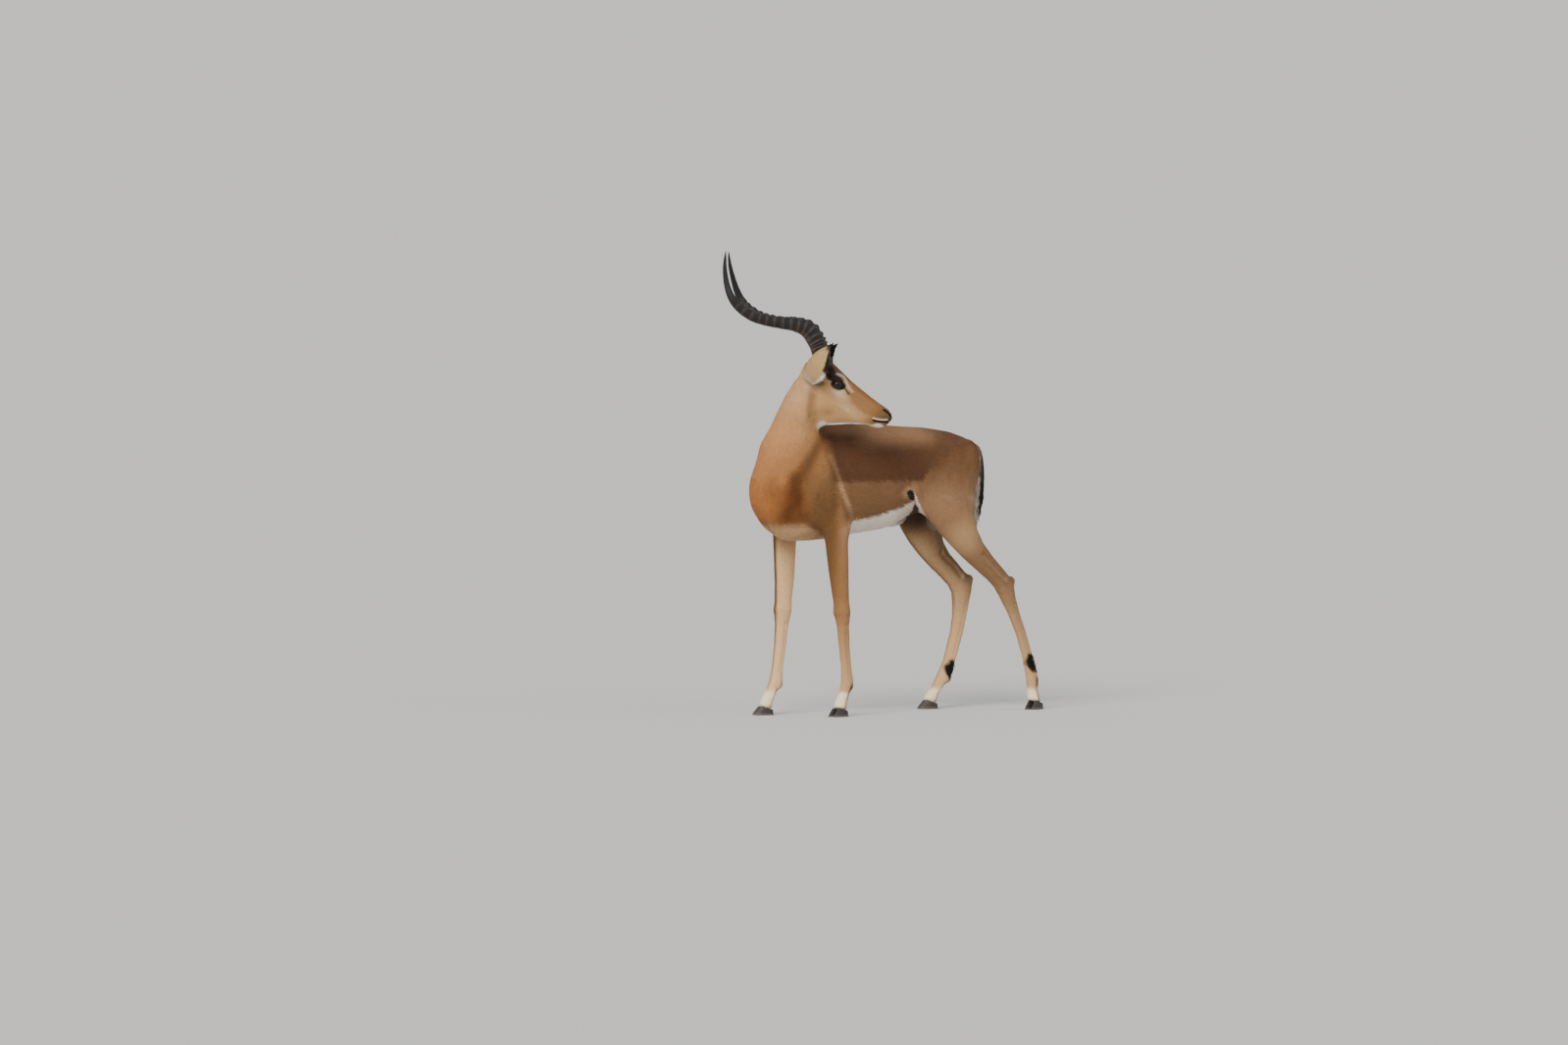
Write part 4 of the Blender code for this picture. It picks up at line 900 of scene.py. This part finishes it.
def unwrapped(places, way, bins=20):
    """The roots laid out flat: round the form's own middle line and along it, from 0 to 1."""
    way = np.array(way) / np.linalg.norm(way)
    one = np.cross(way, (0.0, 1.0, 0.2))
    one /= np.linalg.norm(one)
    two = np.cross(way, one)
    along = places @ way
    low, high, reach = along.min(), along.max(), max(np.ptp(along), 1e-6)
    own = np.clip(((along - low) / reach * bins).astype(int), 0, bins - 1)
    count = np.maximum(np.bincount(own, minlength=bins), 1)
    middle = [np.bincount(own, places @ axis, bins) / count for axis in (one, two)]
    across, up = (np.interp(along, np.linspace(low, high, bins), column) for column in middle)
    angle = np.arctan2(places @ two - up, places @ one - across)
    flat = np.column_stack([angle / math.tau + 0.5, along])
    return (flat - flat.min(axis=0)) / np.ptp(flat, axis=0) * 0.98 + 0.01


hide_faces = faces_of(hide_mesh)
face_group = shares[hide_faces].mean(axis=1).argmax(axis=1)
face_middle = hide_places[hide_faces].mean(axis=1)
face_side = np.where(face_middle[:, 1] - BODY_PLACE[1] < 0, "left", "right")
face_hand = np.where(hide_head[hide_faces].mean(axis=1)[:, 1] > 0, "left", "right")
coat_finish = hairy("coat_finish", 900.0, 0.13, 0.12)
# The way that each form runs. An ear is laid out by its own measures.
WAYS = {"head": head_way[:, 0], "trunk": (1, 0, 0)}
WAYS.update(dict.fromkeys(("neck", "tail", "foreleg", "hindleg"), (0, 0, 1)))
lock_table = np.array([LOCKS[group] for group in GROUPS])
hide_locks = soft_shares @ lock_table / soft_shares.sum(axis=1, keepdims=True)
density = hide_locks[hide_faces, 0].mean(axis=1)
BARE_NOSTRIL = [(0.250, 0.0195), (0.264, 0.0200), (0.276, 0.0150)]
BARE_LIP = [(0.238, -0.0300), (0.252, -0.0252), (0.268, -0.0183), (0.284, -0.0122)]
BARE_LIDS = 1.45  # as a share of the opening between the lids


def locks(name, root, facing, way, long, wide, steep, tone, flat):
    """The mesh of many locks, each with its own small differences and its own place on the map."""
    count, share = len(root), LOCK_POINTS[:, 0]
    way += rng.normal(0, SCATTER, (count, 3))
    way -= np.sum(way * facing, axis=1, keepdims=True) * facing
    way /= np.linalg.norm(way, axis=1, keepdims=True)
    across = np.cross(way, facing)
    long = long * rng.uniform(SHORTEST, LONGEST, count)
    steep = steep * rng.uniform(FLATTEST, STEEPEST, count)
    rise = long[:, None] * steep[:, None] * (share - 0.5 * share**2) - SUNK
    high = LOCK_POINTS[:, 1] * THICKNESS_SHARE * wide[:, None]
    sideways = across[:, None] * (wide[:, None] * LOCK_POINTS[:, 2])[..., None]
    made = root[:, None] + way[:, None] * (long[:, None] * share)[..., None]
    made += sideways + facing[:, None] * (rise + high)[..., None]
    made[..., 2] = np.maximum(made[..., 2], FLOOR_GAP)
    shade = rng.normal(1.0, SHADE_SPREAD, count)[:, None] * (ROOT_SHADE + TIP_GAIN * share)
    tone = tone[:, None] * shade[..., None]
    # A flat lock catches the light much as the hide under it does, only a little rounded across.
    lean = facing[:, None] + across[:, None] * (ROUNDED * LOCK_POINTS[:, 2])[None, :, None]
    lean /= np.linalg.norm(lean, axis=2, keepdims=True)
    mesh = bpy.data.meshes.new(name)
    corners = len(LOCK_POINTS)
    faces = (LOCK_FACES[None] + corners * np.arange(count)[:, None, None]).reshape(-1, 3)
    mesh.vertices.add(corners * count)
    mesh.vertices.foreach_set("co", made.ravel())
    mesh.loops.add(faces.size)
    mesh.loops.foreach_set("vertex_index", faces.ravel())
    mesh.polygons.add(len(faces))
    mesh.polygons.foreach_set("loop_start", np.arange(0, faces.size, 3))
    mesh.update(calc_edges=True)
    tint(mesh, "coat_colour", np.clip(tone, 0, 1).reshape(-1, 3))
    patch_at = flat[:, None] + (LOCK_POINTS[None, :, [2, 0]] - (0.0, 0.5)) * PATCH
    layer = mesh.uv_layers.new(name="OFBake")
    layer.uv.foreach_set("vector", patch_at.reshape(-1, 2)[faces.ravel()].ravel())
    mesh.shade_smooth()
    mesh.normals_split_custom_set_from_vertices(lean.reshape(-1, 3))
    mesh.materials.append(coat_finish)
    return mesh


for group in GROUPS:
    for hand, side in SIDES.items():
        own = face_group == GROUPS.index(group)
        own &= (face_hand if group in ("head", "ear") else face_side) == hand
        corners, weights = rooted(np.flatnonzero(own), density)

        def at_roots(values):
            return np.einsum("ij,ij...->i...", weights, values[corners])

        root, facing, way, ear_at = (at_roots(values) for values in (hide_places, hide_facing, lie, leaf_at))
        long, wide, steep = at_roots(hide_locks[:, 1:]).T
        part = dict(zip(GROUPS, at_roots(soft_shares).T))
        facing /= np.linalg.norm(facing, axis=1, keepdims=True)
        height = root[:, 2]
        keep = np.ones(len(root), bool)
        if group == "head":
            # The lids, the nostrils, the lips and the nose pad are bare, and the face has the finest hair.
            inside = moved(root, FROM_HEAD)
            middle, _, corner, lift = (np.array(axis) for axis in eye_axes(side))
            out = inside - middle
            opening = np.where(np.linalg.norm(out, axis=1) < 0.034, almond(out, corner, lift)[0], 9.0)
            flat = inside[:, [0, 2]]
            keep &= (opening > BARE_LIDS) & (from_line(flat, BARE_NOSTRIL) > 0.0045)
            keep &= from_line(flat, BARE_LIP) > 0.0026
            keep &= ~((inside[:, 0] - NOSE_PAD_TILT * inside[:, 2] > 0.271) & (inside[:, 2] > -0.007))
            small = np.maximum(ease(inside[:, 0], 0.13, 0.23), 1 - ease(opening, 1.6, 5.0))
            long *= 1 - 0.45 * small
            wide *= 1 - 0.25 * small
            long *= 1 + 0.8 * fade(inside[:, 0], -0.03, 0.02)
        if group == "ear":
            # Long white hair reaches in over the hollow from both margins, and stands out from the front one.
            along, over, open_side = ear_at.T
            fringe = open_side * ease(np.abs(over), 0.35, 0.75) * fade(along, 0.65, 0.80)
            outward, tipward = ear_ways[side][:, 1], ear_ways[side][:, 2]
            middle_way = -np.sign(over * side)[:, None] * outward * 0.9 + tipward
            way = way * (1 - fringe[:, None]) + fringe[:, None] * middle_way
            long *= 1 + 2.4 * fringe * rng.uniform(0.4, 1.0, len(root))
            steep = steep + 0.35 * fringe
            edge = ease(over, 0.78, 0.90) * front_margin(along)
            way = way + edge[:, None] * (side * outward * 0.9 - 0.5 * tipward)
            long *= 1 + 0.5 * edge
        if group in ("foreleg", "hindleg"):
            # The hair gets shorter and finer down the leg, and stops at the coronet.
            keep &= height > 0.010
            low = fade(height, 0.06, 0.45)
            long *= 1.25 - 0.70 * low
            wide *= 1.10 - 0.35 * low
        if group in ("trunk", "neck"):
            beneath = ease(-facing[:, 2], 0.35, 0.9)
            long *= 1 + 0.35 * beneath
            steep = steep + 0.08 * beneath
        if group == "tail":
            long *= 0.55 + 0.9 * fade(height, 0.64, 0.76)
        tone = colours_at(root, facing, part, ear_at)
        if group == "hindleg":
            # The black tufts over the glands stand out.
            gland = (tone.sum(axis=1) < 0.09) * fade(height, 0.17, 0.19)
            long *= 1 + 1.1 * gland
            steep = steep + 0.55 * gland
        if group == "ear":
            flat = np.column_stack([(ear_at[:, 1] + 1) / 4 + 0.5 * (ear_at[:, 2] > 0.5), ear_at[:, 0]])
            flat = np.clip(flat[keep], 0.01, 0.99)
        else:
            flat = unwrapped(root[keep], WAYS[group])
        shown = (values[keep] for values in (root, facing, way, long, wide, steep, tone))
        mesh = locks(f"coat_{group}_{hand}", *shown, flat)
        coat = stood(mesh.name, mesh)
        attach(coat, "root")

# Eyes. Each is a dark glossy ball in its socket, deep brown, with a wide level pupil like a slot and a clear
# wet front. Only what shows between the lids is seen.
PUPIL_LENGTH, PUPIL_HEIGHT = 0.62, 0.36  # half measures, as shares of the ball's radius
CORNEA_FROM, CORNEA_HEIGHT = 0.80, 0.0007


def eye_matrix(side):
    """Frame of an eye: Z along its gaze, X along the slot of its pupil."""
    middle, gaze, corner, lift = eye_axes(side)
    turned = Matrix((corner, lift, gaze)).transposed().to_4x4()
    return HEAD @ Matrix.Translation(middle) @ turned


wet = {"Coat_Weight": 0.25, "Coat_Roughness": 0.03}
eye_finish, tree, shader = finish_of("eye_finish", 0.12, Specular_IOR_Level=0.22, **wet)
look = node(tree, "Attribute", attribute_name="iris")
axes = node(tree, "SeparateXYZ", {0: look.outputs["Vector"]})
slot_x = node(tree, "Math", {0: axes.outputs[0], 1: PUPIL_LENGTH}, operation="DIVIDE")
slot_y = node(tree, "Math", {0: axes.outputs[1], 1: PUPIL_HEIGHT}, operation="DIVIDE")
flat_pair = node(tree, "CombineXYZ", {0: slot_x.outputs[0], 1: slot_y.outputs[0]})
reach = node(tree, "VectorMath", {0: flat_pair.outputs[0]}, operation="LENGTH")
rays = node(tree, "TexNoise", {"Vector": look.outputs["Vector"], "Scale": 9.0, "Detail": 4.0})
ramp = node(tree, "ValToRGB", {"Fac": fused(tree, rays.outputs["Fac"], 0.25, reach.outputs["Value"])})
for stop, (place, colour) in zip(ramp.color_ramp.elements, (
    (0.92, (0.0015, 0.0015, 0.002, 1)),
    (1.25, (0.016, 0.0075, 0.004, 1)),
)):
    stop.position, stop.color = place, colour
fed(tree, shader, {"Base Color": ramp.outputs["Color"]})
for hand, side in SIDES.items():
    ball = bmesh.new()
    bmesh.ops.create_uvsphere(ball, u_segments=48, v_segments=32, radius=EYE_RADIUS)
    for vert in ball.verts:
        front = max(0.0, vert.co.z / EYE_RADIUS - CORNEA_FROM) / (1 - CORNEA_FROM)
        vert.co.z += CORNEA_HEIGHT * front * (2 - front)
    iris = [vert.co / EYE_RADIUS for vert in ball.verts]
    bmesh.ops.transform(ball, matrix=eye_matrix(side), verts=ball.verts)
    ball.normal_update()
    bmesh.ops.recalc_face_normals(ball, faces=ball.faces)
    mesh = mesh_of(ball, "eyeball_" + hand)
    mesh.attributes.new("iris", "FLOAT_VECTOR", "POINT").data.foreach_set("vector", np.array(iris).ravel())
    mesh.shade_smooth()
    mesh.materials.append(eye_finish)
    eyeball = stood("eyeball_" + hand, mesh)
    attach(eyeball, "root")
    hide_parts("eye_" + hand)

# Horns. Black keratin sheaths over bone cores, grown as stacked rings: strong ridges on the front of the
# lower two thirds, finer and browner rings behind, and a smooth, finely grooved point. The marks are the
# middle line, then half the depth and half the width there.
HORN = [
    ((0.022, 0.024, 0.046), 0.0250, 0.0220), ((-0.020, 0.028, 0.091), 0.0260, 0.0220),
    ((-0.041, 0.031, 0.109), 0.0265, 0.0220), ((-0.079, 0.042, 0.130), 0.0265, 0.0215),
    ((-0.120, 0.062, 0.127), 0.0222, 0.0203), ((-0.164, 0.088, 0.111), 0.0185, 0.0183),
    ((-0.208, 0.112, 0.098), 0.0176, 0.0176), ((-0.248, 0.135, 0.092), 0.0166, 0.0166),
    ((-0.293, 0.150, 0.098), 0.0148, 0.0148), ((-0.326, 0.158, 0.113), 0.0128, 0.0128),
    ((-0.353, 0.150, 0.135), 0.0106, 0.0106), ((-0.376, 0.130, 0.161), 0.0086, 0.0086),
    ((-0.396, 0.100, 0.188), 0.0066, 0.0066), ((-0.410, 0.072, 0.212), 0.0044, 0.0044),
    ((-0.420, 0.052, 0.232), 0.0012, 0.0012),
]
HORN_SIDES, HORN_RINGS = 40, 306
RIDGES_TO, RIDGES, RIDGE_HEIGHT = 22 / 34, 19, 0.20  # share of the horn, number, and share of its depth
RIDGE_SLANT = 0.006  # a ridge runs a little further up the horn's side than its front
CORE_SHARE, ROOT_DEPTH, ROOT_TAPER = 0.965, 0.014, 0.25


def line_through(marks, share):
    """The point a share of the way along a smooth line through the marks."""
    marks = [2 * marks[0] - marks[1], *marks, 2 * marks[-1] - marks[-2]]
    place = share * (len(marks) - 3)
    first = min(int(place), len(marks) - 4)
    t = place - first
    a, b, c, d = marks[first : first + 4]
    return (2 * b + (c - a) * t + (2 * a - 5 * b + 4 * c - d) * t**2 + (3 * b - a - 3 * c + d) * t**3) / 2


def ridge(share):
    """How far the ridges stand out at a share along a horn: steep on the side of the tip, sloping below."""
    phase = RIDGES * (share / RIDGES_TO) ** 0.80 % 1
    shape = np.interp(phase, [0, 0.25, 0.48, 0.60, 0.74, 1], [0.0, 0.35, 1.0, 0.85, 0.08, 0.0])
    return shape * ease(RIDGES_TO - share, -0.02, 0.09)


horn_finish, tree, shader = finish_of("horn_finish", 0.5, Specular_IOR_Level=0.36)
own = node(tree, "Attribute", attribute_name="growth")
axes = node(tree, "SeparateXYZ", {0: own.outputs["Vector"]})
stretched = node(tree, "Mapping", {"Vector": own.outputs["Vector"], "Scale": (260.0, 1.2, 1.0)})
rings = node(tree, "TexNoise", {"Vector": stretched.outputs[0], "Scale": 1.0, "Detail": 4.0})
fibres = node(tree, "Mapping", {"Vector": own.outputs["Vector"], "Scale": (7.0, 26.0, 26.0)})
strands = node(tree, "TexNoise", {"Vector": fibres.outputs[0], "Scale": 1.0, "Detail": 5.0})
brown = node(tree, "Attribute", attribute_name="horn_colour")
shade = fused(tree, rings.outputs["Fac"], 0.9, 0.55)
# The strands along the horn lighten and darken its colour in long streaks: partly grain, partly painted
# sheen.
streak = fused(tree, strands.outputs["Fac"], 1.8, 0.1)
both_shades = node(tree, "Math", {0: shade, 1: streak}, operation="MULTIPLY").outputs[0]
lit = node(tree, "VectorMath", {0: brown.outputs["Color"], "Scale": both_shades}, operation="SCALE")
relief = fused(tree, rings.outputs["Fac"], 0.6, strands.outputs["Fac"])
raised = node(tree, "Bump", {"Height": relief, "Strength": 0.8, "Distance": 0.0012})
dullness = {"From Min": 0.3, "From Max": 0.7, "To Min": 0.38, "To Max": 0.62}
dull = node(tree, "MapRange", {"Value": strands.outputs["Fac"], **dullness})
fed(tree, shader, {
    "Base Color": lit.outputs[0], "Normal": raised.outputs["Normal"], "Roughness": dull.outputs[0],
})
for hand, side in SIDES.items():
    marks = [Vector((x, side * y, z)) for (x, y, z), _, _ in HORN]
    spots = np.linspace(0, 1, len(HORN))
    horn = bmesh.new()
    grown, growth = [], []
    for index in range(HORN_RINGS + 1):
        share = index / HORN_RINGS
        place = line_through(marks, share)
        ahead, behind = line_through(marks, min(1, share + 0.01)), line_through(marks, max(0, share - 0.01))
        along = (ahead - behind).normalized()
        across = (Vector((0, 1, 0)) - along * along.y).normalized()
        turned = Matrix((along, across, along.cross(across))).transposed().to_4x4()
        half_depth = np.interp(share, spots, [row[1] for row in HORN])
        half_width = np.interp(share, spots, [row[2] for row in HORN])
        if index == 0:
            place = place - along * ROOT_DEPTH
            ring = bmesh.ops.create_circle(horn, segments=HORN_SIDES, radius=1.0)["verts"]
            rim = list(horn.edges)
        else:
            drawn = bmesh.ops.extrude_edge_only(horn, edges=rim)["geom"]
            ring = [piece for piece in drawn if isinstance(piece, bmesh.types.BMVert)]
            rim = [piece for piece in drawn if isinstance(piece, bmesh.types.BMEdge)]
            rim = [edge for edge in rim if len(edge.link_faces) == 1]
        for number, vert in enumerate(ring):
            angle = math.tau * number / HORN_SIDES
            front = 0.5 - 0.5 * math.sin(angle)
            height = ridge(max(0, share + RIDGE_SLANT * math.cos(angle)))
            swell = CORE_SHARE + RIDGE_HEIGHT * height * (0.15 + 0.85 * front)
            swell *= 1 - ROOT_TAPER * (index == 0)
            spread = Vector((0, math.cos(angle) * half_width * swell, math.sin(angle) * half_depth * swell))
            vert.co = HEAD @ (Matrix.Translation(place) @ turned @ spread)
            grown.append(vert)
            growth.append((share, math.cos(angle), math.sin(angle)))
        if index == 0:
            bmesh.ops.contextual_create(horn, geom=ring)
    bmesh.ops.contextual_create(horn, geom=ring)
    horn.verts.index_update()
    horn.normal_update()
    bmesh.ops.recalc_face_normals(horn, faces=horn.faces)
    order = [vert.index for vert in grown]
    mesh = mesh_of(horn, "horn_sheath_" + hand)
    laid_out = np.zeros((len(order), 3))
    laid_out[order] = growth
    mesh.attributes.new("growth", "FLOAT_VECTOR", "POINT").data.foreach_set("vector", laid_out.ravel())
    # Black keratin, lighter on the crests of the ridges, partly dust and partly a painted highlight, and
    # brown behind near the head.
    rear = ease(laid_out[:, 2], 0.15, 0.55) * fade(laid_out[:, 0], 0.18, 0.40)
    black, light, crest_dust_and_highlight = linear((31, 26, 23)), linear((84, 66, 52)), linear((80, 69, 61))
    crest = [ridge(max(0, share + RIDGE_SLANT * across)) for share, across, _ in laid_out]
    crest = np.array(crest)[:, None]
    colours = black * 0.8 + (crest_dust_and_highlight - black) * 0.5 * crest ** 2
    colours += rear[:, None] * (light * (0.35 + 0.75 * crest) - colours)
    tint(mesh, "horn_colour", np.clip(colours, 0, 1))
    mesh.shade_smooth()
    mesh.materials.append(horn_finish)
    sheath = stood("horn_sheath_" + hand, mesh)
    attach(sheath, "root")
    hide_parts("horn_" + hand)

# Hooves. Two claws of dark grey horn on each foot, grown down from the coronet in fine level rings, worn a
# little lighter along the ground edge. They stand flat on the floor.
CLAWS = [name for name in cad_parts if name.startswith("claw_")]
HOOF_CELL, HOOF_ROUNDS = 0.00115, 16
SOLE = 0.0011  # places below this height are level with the floor
HOOF_RING, HOOF_RING_DEPTH = 0.0030, 0.00018
hooves = bmesh.new()
for name in CLAWS:
    hooves.from_mesh(copied(name))
hoof_mesh = worked(mesh_of(hooves, "hooves"), "REMESH", mode="VOXEL", voxel_size=HOOF_CELL)
web = Web(hoof_mesh)
places = array_of(hoof_mesh)
ground = places[:, 2] < SOLE
for _ in range(HOOF_ROUNDS):
    eased = places + 0.5 * (web.mean(places) - places)
    eased[ground, 2] = places[ground, 2]
    places = eased
facing = normals_of(hoof_mesh, places)
height = places[:, 2]
ring_wave = np.sin(height / HOOF_RING * math.tau + wander(places, 0.03, 4.0)) * ease(height, 0.003, 0.008)
places -= facing * (OVERLAP + HOOF_RING_DEPTH * (ring_wave + 1))[:, None] * ease(height, 0.0, 0.004)[:, None]
places[:, 2] = np.where(ground, 0.0, np.maximum(places[:, 2], 0.0))
normals_of(hoof_mesh, places)
hoof_mesh.name = "hoof_claws"
worn = fade(places[:, 2], 0.001, 0.010)[:, None]
tint(hoof_mesh, "hoof_colour", linear((54, 49, 47)) * (1 - worn) + worn * linear((96, 86, 78)))
hoof_finish, tree, shader = finish_of("hoof_finish", 0.5, Specular_IOR_Level=0.4)
colour = node(tree, "Attribute", attribute_name="hoof_colour")
where = node(tree, "TexCoord")
level = node(tree, "Mapping", {"Vector": where.outputs["Object"], "Scale": (90.0, 90.0, 900.0)})
grain = node(tree, "TexNoise", {"Vector": level.outputs[0], "Scale": 1.0, "Detail": 4.0})
gain = fused(tree, grain.outputs["Fac"], 0.9, 0.55)
lit = node(tree, "VectorMath", {0: colour.outputs["Color"], "Scale": gain}, operation="SCALE")
raised = node(tree, "Bump", {"Height": grain.outputs["Fac"], "Strength": 0.5, "Distance": 0.0006})
fed(tree, shader, {"Base Color": lit.outputs[0], "Normal": raised.outputs["Normal"]})
hoof_mesh.shade_smooth()
hoof_mesh.materials.clear()
hoof_mesh.materials.append(hoof_finish)
claws = stood("hoof_claws", hoof_mesh)
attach(claws, "root")
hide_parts(*CLAWS)

# The floor. Plain, pale and matt, level with the soles, and wide enough to fill the view from every side. It
# is there for the picture only.
ground_plane = bmesh.new()
bmesh.ops.create_grid(ground_plane, x_segments=1, y_segments=1, size=400.0)
floor_mesh = mesh_of(ground_plane, "floor")
floor_colour = (0.70, 0.69, 0.67, 1)
floor_finish = finish_of("floor_finish", 0.9, Specular_IOR_Level=0.1, Base_Color=floor_colour)[0]
floor_mesh.materials.append(floor_finish)
floor = stood("floor", floor_mesh)

# The light. A broad soft light stands high on the left of the camera, with a weaker one on the right, and an
# even sky fills the shadows.
sky = bpy.data.worlds.new("sky")
sky.use_nodes = True
fed(sky.node_tree, sky.node_tree.nodes["Background"], {"Color": (0.93, 0.96, 1.0, 1), "Strength": 0.55})
bpy.context.scene.world = sky
for name, strength, spread, toward, colour in (
    ("key", 3.0, 34, (0.66, 0.48, -0.60), (1.0, 0.96, 0.90)),
    ("fill", 0.6, 60, (-0.30, 0.80, -0.35), (0.94, 0.97, 1.0)),
):
    sun = bpy.data.lights.new(name, "SUN")
    sun.energy, sun.angle, sun.color = strength, math.radians(spread), colour
    lamp = stood(name, sun)
    lamp.rotation_euler = Vector(toward).to_track_quat("-Z", "Y").to_euler()

# The camera. It stands far off with a long lens, a little above the animal's middle, and looks at its left
# front.
AIM, BACK = Vector((-0.1990, 0.2343, 0.6008)), Vector((-0.529, -0.847, 0.047))
DISTANCE, VIEW_WIDTH, SENSOR = 44.0, 4.966, 36.0
lens = bpy.data.cameras.new("camera")
lens.sensor_width = SENSOR
lens.lens = SENSOR * DISTANCE / VIEW_WIDTH
lens.clip_end = 900.0
camera = stood("camera", lens)
camera.location = AIM + BACK * DISTANCE
camera.rotation_euler = (-BACK).to_track_quat("-Z", "Y").to_euler()
bpy.context.scene.camera = camera
